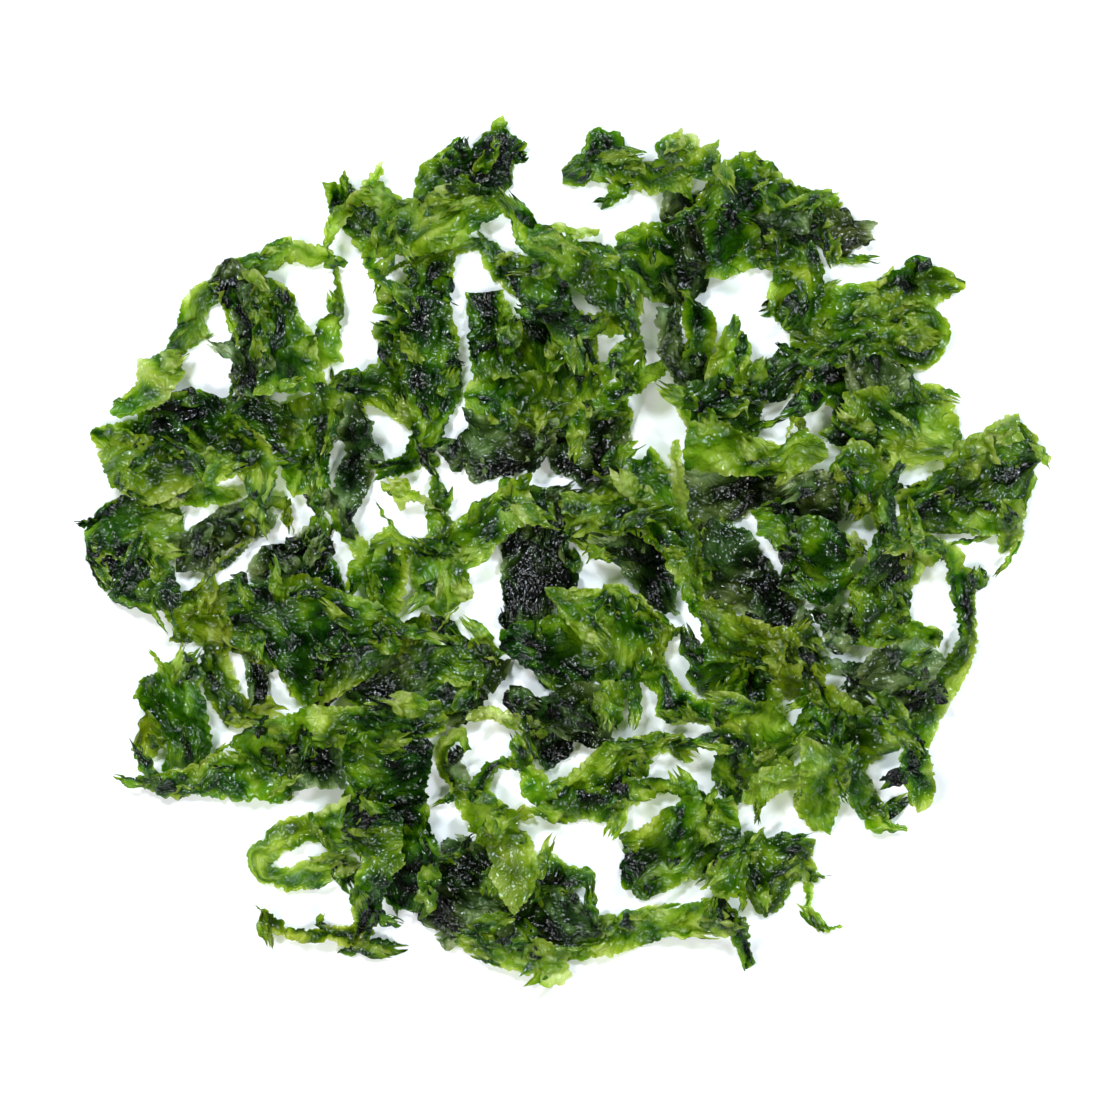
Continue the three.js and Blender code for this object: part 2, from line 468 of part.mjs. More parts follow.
// The grid of a lobe, seen from above: its points, its triangles and how each point waves
function layOut(stationsPx, seed) {
  const stations = stationsPx.map(([ax, ay, bx, by]) => [
    (ax - MAT_CENTRE_PX[0]) * MM_PER_PX, (MAT_CENTRE_PX[1] - ay) * MM_PER_PX,
    (bx - MAT_CENTRE_PX[0]) * MM_PER_PX, (MAT_CENTRE_PX[1] - by) * MM_PER_PX,
  ]);
  const { places, total, width } = evenRows(stations);
  const rows = places.length - 1;
  const columns = Math.max(2, Math.round(width / FACET));
  const phase = seed * GOLDEN_ANGLE;
  const points = [];
  for (let row = 0; row <= rows; row++) {
    const [ax, ay, bx, by] = smoothRun(stations, places[row]);
    const across = [bx - ax, by - ay];
    const breadth = Math.hypot(...across);
    const along = total * row / rows;
    for (let column = 0; column <= columns; column++) {
      const share = column / columns;
      const side = column === 0 ? -1 : column === columns ? 1 : 0;
      const tooth = wave(along, TOOTH_PITCH, phase + side) + 0.5 * wave(along, 0.618 * TOOTH_PITCH, phase);
      const reach = side * tooth * TOOTH_DEPTH * Math.min(1, breadth / 8) / breadth;
      const end = row === 0 ? -1 : row === rows ? 1 : 0;
      const notch = end * TOOTH_DEPTH * wave(share * breadth, TOOTH_PITCH, 2 * phase + end) / breadth;
      const jitter = side || end ? 0 : JITTER * breadth / columns;
      const dx = jitter * Math.sin(phase + 5.1 * row + 2.3 * column);
      const dy = jitter * Math.cos(phase + 3.7 * row + 4.9 * column);
      points.push({
        x: ax + across[0] * (share + reach) - across[1] * notch + dx,
        y: ay + across[1] * (share + reach) + across[0] * notch + dy,
        ripple: ripple(along, (share - 0.5) * breadth, 2 * share - 1, phase),
        along,
        row,
      });
    }
  }
  let turn = 0;
  for (let a = 0; a + columns + 2 < points.length; a++) {
    if (a % (columns + 1) < columns) turn += areaOf(points, [a, a + 1, a + columns + 2]);
  }
  turn = Math.sign(turn);
  const triangles = [];
  for (let row = 0; row < rows; row++) {
    for (let column = 0; column < columns; column++) {
      const a = row * (columns + 1) + column;
      const [b, c, d] = [a + 1, a + columns + 2, a + columns + 1];
      const splits = [[[a, b, c], [a, c, d]], [[a, b, d], [b, c, d]]];
      const smallest = splits.map((pair) => Math.min(...pair.map((facet) => turn * areaOf(points, facet))));
      triangles.push(...splits[smallest[0] >= smallest[1] ? 0 : 1]);
    }
  }
  return { points, triangles, rows, columns, turn };
}

// Twice the area of a facet seen from above: above zero where its corners run anticlockwise
function areaOf(points, corners) {
  const [a, b, c] = corners.map((index) => points[index]);
  return (b.x - a.x) * (c.y - a.y) - (c.x - a.x) * (b.y - a.y);
}

// How far a point of a blade stands above what it lies on: long folds, and a ruffle at the margins
function ripple(along, across, margin, phase) {
  const fold = wave(along, WAVE_LENGTH, phase + 0.9 * wave(across, WAVE_LENGTH, 2 * phase));
  const billow = wave(across, 1.6 * WAVE_LENGTH, 3 * phase + 0.7 * wave(along, 1.7 * WAVE_LENGTH, phase));
  const ruffle = margin * margin * (1 + wave(along, 0.73 * WAVE_LENGTH, 5 * phase + 2 * margin));
  return Math.max(0, WAVE_HEIGHT * (0.5 * fold + 0.5 * billow) + 0.5 * MARGIN_RUFFLE * ruffle);
}

// The height map holds the top of everything already laid, cell by cell, and 0 where the surface is bare
const heightMap = new Float64Array(MAP_SIDE * MAP_SIDE);

function cellAt(x, y) {
  return [Math.round((x + MAP_HALF) / CELL), Math.round((y + MAP_HALF) / CELL)];
}

// Visits points all over a triangle, its corners and sides too, no further apart than half a cell
function overTriangle(a, b, c, visit) {
  const longest = Math.max(Math.hypot(a.x - b.x, a.y - b.y), Math.hypot(b.x - c.x, b.y - c.y),
    Math.hypot(c.x - a.x, c.y - a.y));
  const steps = Math.max(1, Math.ceil(2 * longest / CELL));
  for (let i = 0; i <= steps; i++) {
    for (let j = 0; j <= steps - i; j++) {
      const [u, v] = [i / steps, j / steps];
      const w = 1 - u - v;
      visit(u * a.x + v * b.x + w * c.x, u * a.y + v * b.y + w * c.y, u * a.z + v * b.z + w * c.z);
    }
  }
}

function addToMap(lobe) {
  for (const [a, b, c] of lobe.triangles) {
    overTriangle(lobe.points[a], lobe.points[b], lobe.points[c], (x, y, z) => {
      const [column, row] = cellAt(x, y);
      for (let i = column - 1; i <= column + 1; i++) {
        for (let j = row - 1; j <= row + 1; j++) {
          const cell = j * MAP_SIDE + i;
          heightMap[cell] = Math.max(heightMap[cell], z + BLADE);
        }
      }
    });
  }
}

// Sets each point on the highest thing under the facets round it, with its ripple on top
function layOnMap(lobe) {
  for (const point of lobe.points) point.rest = 0;
  for (const corners of lobe.triangles) {
    const [a, b, c] = corners.map((index) => lobe.points[index]);
    let top = 0;
    overTriangle(a, b, c, (x, y) => {
      const [column, row] = cellAt(x, y);
      top = Math.max(top, heightMap[row * MAP_SIDE + column]);
    });
    const rest = top > 0 ? top + CLEARANCE : 0;
    for (const point of [a, b, c]) point.rest = Math.max(point.rest, rest);
  }
  for (const point of lobe.points) point.z = point.rest + point.ripple;
}

// The facet of a lobe under a point, with the share of each corner, or null where the lobe isn't under it
function facetUnder(lobe, { x, y }) {
  for (const corners of lobe.triangles) {
    const [a, b, c] = corners.map((index) => lobe.points[index]);
    const area = (b.x - a.x) * (c.y - a.y) - (c.x - a.x) * (b.y - a.y);
    const u = ((b.x - x) * (c.y - y) - (c.x - x) * (b.y - y)) / area;
    const v = ((c.x - x) * (a.y - y) - (a.x - x) * (c.y - y)) / area;
    if (u >= 0 && v >= 0 && u + v <= 1) return { corners: [a, b, c], shares: [u, v, 1 - u - v] };
  }
  return null;
}

// Where a side lobe lies over its own frond: its root sits in the blade under it, and from there it rises
// clear. The latest lobe under a root is the one that it grows from.
function ownLinks(lobes, index) {
  const links = [];
  for (const point of lobes[index].points) {
    const facets = lobes.slice(0, index).reverse().map((under) => facetUnder(under, point)).filter(Boolean);
    facets.forEach((facet, depth) => {
      const rise = mix(ROOT_SINK * BLADE, BLADE + CLEARANCE, clamp01(point.along / ROOT_BLEND));
      links.push({ point, ...facet, rise, root: point.row === 0 && depth === 0 });
    });
  }
  return links;
}

const heightOf = (link) => link.corners.reduce((sum, corner, k) => sum + corner.z * link.shares[k], 0);

// Lays the lobes of a frond down, its main blade first. A blade is raised where a root in it can't lie lower.
// Then points rise until no facet is steeper than a wet blade lies and the side lobes lie clear over it.
function settle(lobes) {
  const links = lobes.map((_, index) => ownLinks(lobes, index));
  for (const { point, corners, root } of links.flat().reverse()) {
    if (!root) continue;
    for (const corner of corners) corner.z = Math.max(corner.z, point.rest);
  }
  lobes.forEach((lobe, index) => {
    for (let step = 0; step < SETTLE_STEPS; step++) {
      for (const link of links[index]) {
        link.point.z = Math.max(link.point.z, heightOf(link) + link.rise);
      }
      for (const corners of lobe.triangles) {
        const [a, b, c] = corners.map((corner) => lobe.points[corner]);
        for (const [p, q] of [[a, b], [b, c], [c, a]]) {
          const drop = STEEPEST * Math.hypot(p.x - q.x, p.y - q.y);
          p.z = Math.max(p.z, q.z - drop);
          q.z = Math.max(q.z, p.z - drop);
        }
      }
    }
    for (const link of links[index].filter(({ root }) => root)) link.point.z = heightOf(link) + link.rise;
  });
}

// A lobe as a closed solid: the same facets above and below, and a wall along the margin
function lobeSolid({ points, triangles, rows, columns, turn }) {
  const count = points.length;
  const corners = [];
  for (const point of points) corners.push(point.x, point.y, point.z);
  for (const point of points) corners.push(point.x, point.y, point.z + BLADE);
  const faces = [];
  for (const [a, b, c] of triangles) {
    faces.push(a, c, b);
    faces.push(a + count, b + count, c + count);
  }
  const margin = [];
  for (let column = 0; column < columns; column++) margin.push(column);
  for (let row = 0; row < rows; row++) margin.push(row * (columns + 1) + columns);
  for (let column = columns; column > 0; column--) margin.push(rows * (columns + 1) + column);
  for (let row = rows; row > 0; row--) margin.push(row * (columns + 1));
  margin.forEach((a, k) => {
    const b = margin[(k + 1) % margin.length];
    faces.push(a, b, b + count);
    faces.push(a, b + count, a + count);
  });
  const mesh = new wasm.Mesh({
    numProp: 3,
    vertProperties: new Float32Array(corners),
    triVerts: new Uint32Array(turn > 0 ? faces : faces.reverse()),
  });
  return new wasm.Manifold(mesh);
}

function frondMesh(name, table, seed) {
  const lobes = table.map(([, ...stations], index) => layOut(stations, seed + index));
  lobes.forEach(layOnMap);
  settle(lobes);
  lobes.forEach(addToMap);
  let solid = lobeSolid(lobes[0]);
  for (const lobe of lobes.slice(1)) solid = solid.add(lobeSolid(lobe));
  const body = solid.simplify(SLIVER).decompose().sort((a, b) => b.volume() - a.volume())[0];
  const { vertProperties, triVerts } = body.getMesh();
  const geometry = new THREE.BufferGeometry();
  geometry.setAttribute("position", new THREE.BufferAttribute(vertProperties, 3));
  geometry.setIndex(new THREE.BufferAttribute(triVerts, 1));
  const material = new THREE.MeshStandardMaterial({ ...TONES[table[0][0]], metalness: 0 });
  const mesh = new THREE.Mesh(geometry, material);
  mesh.name = name;
  return mesh;
}

const mat = new THREE.Group();
let seed = 1;
for (const [name, table] of Object.entries(FRONDS)) {
  mat.add(frondMesh(name, table, seed));
  seed += table.length;
}

export default mat;
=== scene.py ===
# A portion of soaked sea lettuce, dressed for rendering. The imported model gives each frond's place and
# height. Here every frond becomes a thin, wet, crumpled film: each lobe's sheet is laid through the facets of
# its CAD node, given more film than it has room for, and left to buckle. Small flaps of film stand on it.
# Lengths are in millimetres where nothing else is said.
import math

import bpy
import numpy as np
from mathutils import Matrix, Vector


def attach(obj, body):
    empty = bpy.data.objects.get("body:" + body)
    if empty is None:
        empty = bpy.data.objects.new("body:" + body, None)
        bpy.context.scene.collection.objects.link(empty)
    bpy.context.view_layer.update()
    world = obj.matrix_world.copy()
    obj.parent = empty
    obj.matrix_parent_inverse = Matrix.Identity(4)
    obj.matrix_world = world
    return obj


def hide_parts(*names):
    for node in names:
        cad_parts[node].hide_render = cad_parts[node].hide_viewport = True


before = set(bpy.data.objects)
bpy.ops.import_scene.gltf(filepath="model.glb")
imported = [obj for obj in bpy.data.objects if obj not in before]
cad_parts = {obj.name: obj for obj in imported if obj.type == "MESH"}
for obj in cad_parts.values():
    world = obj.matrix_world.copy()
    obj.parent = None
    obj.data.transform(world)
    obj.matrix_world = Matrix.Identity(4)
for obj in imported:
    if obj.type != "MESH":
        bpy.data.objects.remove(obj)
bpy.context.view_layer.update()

MM = 0.001
TINY = 1e-9

# The mat's plan, as it is in the model: real sizes in millimetres, places in pixels of the photograph
MAT_WIDTH = 186
MAT_WIDTH_PX = 957
MAT_CENTRE_PX = (562.94, 550.58)
PHOTO_PX = 1120
MM_PER_PX = MAT_WIDTH / MAT_WIDTH_PX
BLADE = 1
FACET = 4.2
STATION_SAMPLES = 8
JITTER = 0.14
JITTER_TURNS = ((5.1, 2.3), (3.7, 4.9))  # from row to row and column to column, for x and for y
TOOTH_DEPTH = 0.7
TOOTH_PITCH = 5.3
SMALL_TOOTH_PITCH = 0.618 * TOOTH_PITCH
TOOTH_BREADTH = 8  # narrower blades have shallower teeth
GOLDEN_ANGLE = 2.39996

# Each frond's lobes: a tone, then stations along the lobe, each with the x and y of its two margins
FRONDS = {
    "west_underleaf": [
        ["olive", [165,598,172,643], [186,590,196,643], [210,582,216,656], [250,588,250,656]],
        ["olive", [200,636,236,636], [202,668,233,664], [207,696,241,694], [223,725,255,717]],
        ["dark", [241,646,264,650], [244,680,266,682], [247,719,263,717]],
    ],
    "west_mass": [
        ["deep", [85,522,84,566], [104,506,96,593], [128,499,120,576], [152,496,146,568]],
        ["deep", [126,556,152,552], [118,580,174,568], [112,604,186,600], [150,613,176,611]],
        ["green", [140,502,140,546], [158,493,160,552], [184,497,186,546]],
        ["pale", [158,494,158,512], [182,486,182,507], [212,484,214,504], [242,487,242,501]],
        ["dark", [166,534,178,566], [186,530,206,568], [206,518,226,552], [226,504,256,538],
         [250,496,276,516]],
        ["olive", [256,500,260,514], [280,497,278,509], [298,504,287,512], [293,523,277,520]],
        ["olive", [240,520,258,532], [232,548,246,550], [216,560,226,567], [203,570,208,579]],
    ],
    "north_curtain": [
        ["deep", [404,262,452,250], [403,280,449,278], [400,302,446,306], [398,332,440,336]],
        ["green", [410,256,420,268], [440,243,447,258], [470,234,470,249], [493,237,481,253],
         [511,250,485,270], [525,267,500,283], [533,290,513,296]],
    ],
    "west_fan": [
        ["bright", [254,418,333,388], [270,441,337,418], [281,463,333,446], [289,481,327,471],
         [294,499,321,490]],
        ["green", [316,392,330,408], [344,372,346,405], [370,362,372,409], [397,356,397,421],
         [419,384,415,429]],
    ],
    "west_shoulder": [
        ["green", [98,446,114,491], [130,441,136,501], [162,438,166,495], [192,442,197,490],
         [202,462,207,484]],
        ["green", [140,420,140,452], [115,420,112,449], [93,424,90,447]],
        ["deep", [134,412,139,452], [160,397,170,449], [190,388,200,445], [226,396,226,443],
         [252,395,262,443], [276,403,285,457]],
        ["green", [188,428,190,444], [215,424,212,457], [245,422,236,469], [275,445,243,483],
         [277,477,242,497], [269,503,240,507]],
        ["green", [184,452,190,472], [200,456,197,471], [207,460,206,472]],
    ],
    "northwest_column": [
        ["dark", [212,265,243,256], [208,286,251,276], [222,303,255,302], [233,332,263,330],
         [229,366,265,364], [235,401,265,400]],
        ["green", [244,276,282,279], [249,300,292,293], [254,328,307,322], [257,360,321,362],
         [261,399,331,388]],
        ["bright", [232,262,240,276], [262,246,262,272], [276,239,280,270], [294,238,298,265],
         [313,243,314,264], [332,249,331,257]],
        ["green", [216,290,230,298], [224,318,233,317], [234,344,241,343]],
        ["green", [306,356,318,372], [306,342,338,358], [310,326,342,342], [326,316,343,322],
         [332,304,344,304], [333,286,341,284], [330,266,336,265], [325,249,331,248]],
        ["bright", [224,282,224,300], [206,282,209,304], [187,291,208,322], [174,324,194,340],
         [159,350,187,356], [139,362,180,388], [136,388,158,402], [107,400,121,421]],
    ],
    "purple_strand": [
        ["dark", [335,519,333,553], [310,523,317,563], [286,540,297,578], [262,551,273,585],
         [243,570,252,585]],
        ["deep", [330,532,310,548], [323,512,305,530], [328,498,314,506]],
        ["deep", [288,552,290,572], [320,560,320,591], [341,571,335,599], [347,592,343,603]],
    ],
    "west_strap": [
        ["green", [307,385,343,392], [316,412,331,414], [318,450,330,450], [318,488,330,488],
         [325,514,343,508], [336,535,353,528], [353,553,375,547], [347,574,367,580], [346,592,353,594]],
        ["dark", [343,538,359,536], [341,522,355,524], [335,502,357,502], [332,480,367,483],
         [338,456,373,452], [342,430,375,424], [345,403,363,405]],
    ],
    "sleeve": [
        ["deep", [398,291,439,293], [397,322,457,315], [400,352,459,348], [403,382,457,380],
         [410,412,453,417], [412,436,445,441], [404,454,421,465], [388,459,398,475], [367,464,373,481]],
        ["green", [408,298,408,322], [389,290,389,315], [376,286,375,312]],
        ["green", [410,328,414,366], [391,321,393,354], [373,320,376,342]],
    ],
    "north_blade": [
        ["bright", [499,185,509,207], [470,183,487,223], [440,185,457,243], [412,194,416,257],
         [390,206,390,258], [371,223,369,253]],
        ["bright", [378,238,366,244], [376,262,362,264], [389,278,375,281], [405,291,393,297]],
        ["deep", [396,214,384,248], [378,214,368,246], [364,204,350,234], [356,187,332,208],
         [347,170,323,187]],
        ["pale", [338,212,356,214], [350,194,366,200], [366,175,379,187], [383,159,387,170]],
        ["green", [344,200,356,210], [331,214,344,228], [324,234,334,239], [322,249,329,251]],
        ["deep", [410,196,430,210], [418,169,453,197], [440,159,483,192], [462,149,506,187],
         [482,130,514,165], [505,116,526,146]],
    ],
    "column": [
        ["dark", [528,484,579,492], [514,515,581,520], [504,550,573,552], [500,580,574,581],
         [502,609,561,606], [511,630,546,623]],
        ["green", [562,500,562,538], [585,497,581,550], [602,505,593,542]],
    ],
    "pouch_right_flap": [
        ["dark", [577,411,547,447], [603,415,555,471], [625,428,575,481], [631,450,602,487],
         [619,473,609,485]],
        ["deep", [600,434,624,438], [604,408,631,412], [612,396,631,399]],
        ["olive", [596,470,582,478], [618,480,602,499], [642,486,632,504]],
    ],
    "pouch_lip": [
        ["dark", [466,410,459,453], [483,412,474,478], [507,414,502,479], [537,414,532,473],
         [563,420,551,451]],
        ["bright", [478,428,556,432], [469,404,592,416], [470,388,592,390], [476,371,586,358]],
    ],
    "pouch_back": [
        ["deep", [463,297,501,287], [469,322,513,318], [471,352,509,350], [473,376,514,378]],
        ["deep", [498,316,560,310], [496,340,571,336], [499,358,573,356], [514,372,562,372]],
    ],
    "pouch_collar": [
        ["deep", [553,255,500,272], [559,280,520,303], [575,308,544,323], [595,318,562,347],
         [599,352,572,375], [601,393,574,405]],
        ["green", [588,382,594,406], [607,385,613,409], [627,377,633,399], [645,369,649,389],
         [659,359,664,377], [663,344,670,348]],
        ["bright", [584,318,584,338], [605,314,605,339], [619,318,617,333], [628,324,627,331]],
    ],
    "north_long_strand": [
        ["green", [498,185,499,203], [523,213,511,227], [547,227,520,251], [575,235,550,265],
         [595,251,568,283], [615,271,584,301], [633,286,606,315], [639,312,621,314], [643,340,631,346],
         [648,361,637,369]],
        ["green", [644,346,636,362], [628,350,631,362], [612,359,617,372], [593,368,600,385]],
        ["pale", [574,246,558,256], [582,238,566,236], [590,238,584,226], [599,233,597,227]],
    ],
    "northeast_wad": [
        ["dark", [669,195,709,195], [658,216,711,224], [661,246,715,254], [671,276,707,276],
         [667,303,697,301]],
        ["deep", [676,232,676,300], [652,221,652,300], [632,225,632,284], [613,238,607,275]],
    ],
    "northeast_blade": [
        ["green", [699,195,705,281], [724,165,736,278], [752,151,764,259], [781,169,788,249],
         [803,183,814,243], [825,189,833,230], [844,194,843,203]],
        ["dark", [752,216,764,246], [776,206,784,240], [802,202,808,242], [831,207,836,260],
         [857,216,859,246], [877,223,874,241]],
        ["deep", [824,236,844,238], [829,264,839,266]],
    ],
    "northeast_wing": [
        ["green", [559,167,567,181], [576,153,580,187], [592,133,600,175], [613,126,613,179],
         [629,149,631,185], [650,156,651,194], [673,153,673,198], [697,157,695,203]],
        ["green", [626,166,636,182], [611,180,622,195], [602,203,607,207]],
        ["pale", [664,172,698,178], [661,148,707,158], [660,133,700,142], [682,126,690,130]],
        ["bright", [686,168,702,184], [702,148,724,172], [716,144,724,158]],
    ],
    "northeast_horn_blade": [
        ["green", [799,297,793,357], [830,288,830,361], [860,280,862,359], [888,273,892,357],
         [909,273,903,331]],
        ["green", [880,274,884,306], [906,269,910,307], [931,264,931,304], [953,271,947,295],
         [969,281,955,293]],
        ["deep", [892,298,892,320], [930,298,916,320], [950,324,930,334], [943,351,924,338],
         [924,364,914,338], [898,364,898,330], [880,352,884,334]],
        ["deep", [797,336,816,344], [776,318,812,324], [767,292,818,298], [779,266,826,270],
         [785,246,813,243]],
    ],
    "middle_v_leaf": [
        ["dark", [653,312,683,298], [658,340,684,336], [664,366,696,358], [675,393,716,373],
         [689,405,719,393]],
        ["deep", [684,368,706,372], [684,344,714,340], [683,320,708,315], [682,301,690,299]],
        ["pale", [676,384,692,392], [677,405,692,404], [685,426,697,422], [689,447,703,443]],
    ],
    "middle_spiky_leaf": [
        ["green", [689,384,689,433], [716,377,718,435], [743,383,747,433], [767,397,761,427]],
        ["bright", [708,392,758,396], [711,364,755,364], [719,342,747,339], [732,318,738,320]],
        ["deep", [742,382,744,402], [763,367,763,403], [785,348,789,399], [805,350,805,381]],
    ],
    "east_brown_leaf": [
        ["deep", [801,359,799,387], [824,357,822,399], [849,361,832,409], [863,388,831,429],
         [871,416,821,443]],
        ["olive", [814,372,802,370], [806,386,793,390], [800,404,788,402], [804,420,792,421],
         [816,432,805,439]],
    ],
    "east_plume": [
        ["bright", [907,375,848,396], [927,391,852,427], [951,404,872,451], [965,426,906,465],
         [961,441,944,459]],
        ["dark", [858,404,900,402], [845,378,911,382], [848,353,894,359]],
        ["deep", [878,436,872,456], [852,424,838,446], [836,411,817,437]],
    ],
    "east_band": [
        ["dark", [680,461,685,523], [710,465,714,531], [742,469,748,517], [772,473,778,507],
         [802,471,808,523], [834,467,839,517]],
        ["green", [826,472,826,502], [852,442,848,503], [877,458,866,520], [891,468,885,500]],
        ["olive", [860,494,882,492], [872,518,886,514], [881,541,893,538]],
    ],
    "pale_fold": [
        ["bright", [690,427,684,467], [716,420,716,471], [743,430,747,473], [773,439,777,479],
         [803,436,803,473], [825,443,821,467]],
    ],
    "centre_dark_leaf": [
        ["dark", [717,518,686,546], [744,533,700,581], [771,558,724,605], [793,590,754,625],
         [809,620,780,643], [821,650,809,657]],
        ["dark", [808,636,800,652], [823,652,820,665], [847,660,846,672], [865,661,865,676]],
    ],
    "east_knobs": [
        ["deep", [787,527,783,593], [815,517,816,603], [841,533,843,593], [857,545,853,577]],
        ["deep", [796,524,796,558], [775,498,776,547], [755,509,757,541]],
        ["pale", [840,538,844,568], [858,531,862,557], [870,544,869,550]],
    ],
    "feather_leaf": [
        ["green", [560,489,565,517], [592,497,598,525], [625,496,625,522], [657,499,650,525],
         [685,517,668,537], [703,550,688,563], [715,587,700,598]],
        ["bright", [660,520,686,526], [644,505,685,500], [632,484,664,471], [627,462,653,448]],
        ["pale", [674,504,690,512], [669,478,685,484], [666,458,679,462], [670,442,677,445]],
    ],
    "centre_ridge": [
        ["dark", [601,527,611,565], [630,525,636,591], [657,541,660,609], [677,566,679,615]],
        ["green", [602,524,606,538], [630,517,628,534], [661,526,650,548], [683,547,668,565],
         [698,571,681,593], [709,600,687,613], [715,621,700,632], [728,650,715,658]],
    ],
    "southeast_sheet": [
        ["olive", [707,598,700,621], [737,609,722,649], [767,623,748,671], [803,643,782,693],
         [829,663,817,705]],
        ["deep", [746,654,740,668], [722,648,728,690], [702,642,704,694], [688,652,688,674]],
        ["deep", [744,652,768,662], [728,672,780,690], [718,694,776,714]],
    ],
    "east_column": [
        ["deep", [873,532,907,535], [868,556,923,560], [850,585,913,591], [853,606,913,606]],
        ["pale", [902,548,904,572], [925,541,925,569], [944,553,941,566]],
        ["green", [846,592,850,642], [871,596,873,646], [896,609,896,642], [921,621,923,642],
         [942,629,940,643]],
        ["dark", [856,606,858,638], [836,606,842,652], [814,612,822,646]],
    ],
    "east_blade": [
        ["green", [896,494,904,533], [925,474,932,533], [956,451,962,536], [985,436,990,534],
         [1011,419,1013,527], [1037,424,1030,507], [1042,438,1037,480]],
        ["bright", [1004,500,1030,500], [1001,530,1028,531], [1002,554,1014,549]],
        ["pale", [980,452,1000,464], [976,436,992,432], [996,420,1000,446], [1020,415,1024,440]],
    ],
    "east_long_arc": [
        ["green", [880,524,883,537], [906,529,905,543], [936,534,935,551], [957,550,944,571],
         [974,575,951,593], [980,610,959,616], [977,646,956,641], [966,677,939,669], [946,716,920,697],
         [926,751,904,730]],
        ["deep", [896,534,884,530], [898,516,880,520], [888,499,874,500], [895,480,883,481],
         [905,464,892,465]],
    ],
    "dark_disc": [
        ["dark", [857,667,861,691], [880,644,880,702], [906,642,906,714], [927,644,926,697],
         [944,660,936,687]],
        ["dark", [868,672,872,692], [852,682,858,696], [840,690,842,698]],
    ],
    "centre_left_ribbon": [
        ["green", [370,533,371,554], [390,527,396,555], [414,538,422,559], [443,535,453,561],
         [470,507,482,551], [500,487,512,533], [533,473,537,515]],
        ["green", [426,550,450,548], [424,520,451,522], [426,500,449,500], [431,471,438,471]],
        ["pale", [432,498,438,514], [414,489,414,505], [395,483,397,507]],
        ["bright", [376,544,410,546], [369,575,408,575], [371,601,401,603], [386,623,396,617]],
        ["bright", [416,550,456,550], [410,575,466,572], [418,598,465,597], [442,618,452,615]],
    ],
    "centre_pipe": [
        ["dark", [511,664,487,651], [501,683,478,668], [481,707,462,684], [458,733,437,706]],
        ["green", [472,684,464,706], [447,672,446,711], [423,686,427,707]],
        ["bright", [506,652,498,668], [486,639,488,659], [467,635,471,655]],
        ["green", [490,654,484,676], [456,639,456,689], [426,629,426,683], [400,640,399,675]],
        ["dark", [414,648,412,690], [391,649,392,705], [366,653,364,709], [345,667,345,699]],
        ["olive", [420,646,404,642], [430,630,403,622], [433,614,414,615]],
    ],
    "webbed_blade": [
        ["deep", [225,583,233,641], [260,579,268,665], [300,579,296,703], [341,589,336,695],
         [377,600,372,671], [402,621,397,653]],
    ],
    "centre_froth": [
        ["deep", [499,633,505,657], [520,620,530,669], [545,615,556,683], [573,612,581,685],
         [600,625,602,669]],
    ],
    "centre_arch": [
        ["green", [603,597,643,595], [600,626,665,622], [605,652,671,646], [605,684,653,683]],
        ["bright", [640,602,620,616], [618,581,608,605], [596,585,596,619], [574,587,573,627],
         [547,587,551,605]],
        ["bright", [654,618,656,642], [684,629,682,636]],
    ],
    "centre_low_leaf": [
        ["dark", [504,687,509,715], [530,697,532,733], [560,689,562,741], [590,687,594,749],
         [615,697,617,743]],
        ["green", [598,722,618,726], [599,700,625,702], [599,679,629,684]],
        ["pale", [546,722,540,742], [516,714,512,729], [490,706,490,718], [467,713,473,725]],
        ["dark", [542,722,570,732], [526,736,568,753], [536,762,556,772]],
    ],
    "centre_wing": [
        ["bright", [643,741,651,767], [616,741,620,793], [590,753,590,807], [564,773,564,815],
         [539,788,545,804]],
        ["deep", [560,790,618,782], [555,812,627,806], [574,823,611,823]],
        ["bright", [626,742,628,764], [655,733,656,757], [683,741,677,753]],
        ["bright", [620,752,642,750], [636,778,651,772]],
        ["green", [608,790,612,812], [642,783,646,803], [667,781,669,794], [688,791,689,797]],
    ],
    "south_fold": [
        ["green", [646,667,640,683], [673,671,661,697], [688,689,659,723], [706,704,700,725],
         [727,711,722,737]],
    ],
    "south_bumpy_leaf": [
        ["bright", [722,712,714,738], [757,703,736,781], [782,711,766,791], [802,724,787,767]],
        ["deep", [724,738,752,746], [709,766,742,770], [715,790,746,792], [729,803,746,804]],
    ],
    "southeast_froth": [
        ["green", [799,689,794,747], [825,684,822,757], [851,699,848,767], [881,704,873,767],
         [906,724,896,752]],
    ],
    "southeast_drape": [
        ["bright", [796,738,838,744], [799,770,850,770], [797,802,842,806], [812,832,834,834]],
        ["bright", [806,762,806,788], [778,763,778,792], [756,770,764,800], [742,800,758,820]],
        ["green", [836,760,872,758], [844,790,874,790], [855,813,886,809], [872,831,894,822],
         [906,833,903,826]],
    ],
    "southeast_finger": [
        ["deep", [867,691,886,688], [884,720,907,714], [900,750,924,744], [903,776,932,780],
         [908,807,930,812]],
    ],
    "south_pointed_blade": [
        ["green", [741,837,744,896], [770,831,770,919], [796,837,796,892], [814,844,818,882]],
        ["bright", [800,870,814,874], [807,905,815,905], [810,922,818,917], [825,937,828,927],
         [842,929,840,924]],
    ],
    "south_broad_blade": [
        ["green", [623,839,622,883], [645,821,645,897], [672,804,672,894], [700,796,700,874],
         [737,796,737,860]],
        ["green", [732,840,754,858], [714,862,745,888], [696,878,722,904]],
    ],
    "south_long_strand": [
        ["bright", [720,890,724,914], [690,903,701,934], [655,913,660,940], [625,917,628,948],
         [598,921,602,960], [565,937,570,964], [534,944,534,972]],
        ["deep", [712,900,728,900], [718,930,746,924], [734,946,753,941], [742,960,755,966],
         [745,973,753,971]],
    ],
    "south_shiny_blade": [
        ["dark", [414,880,420,926], [440,871,445,940], [475,879,480,946], [510,884,515,957],
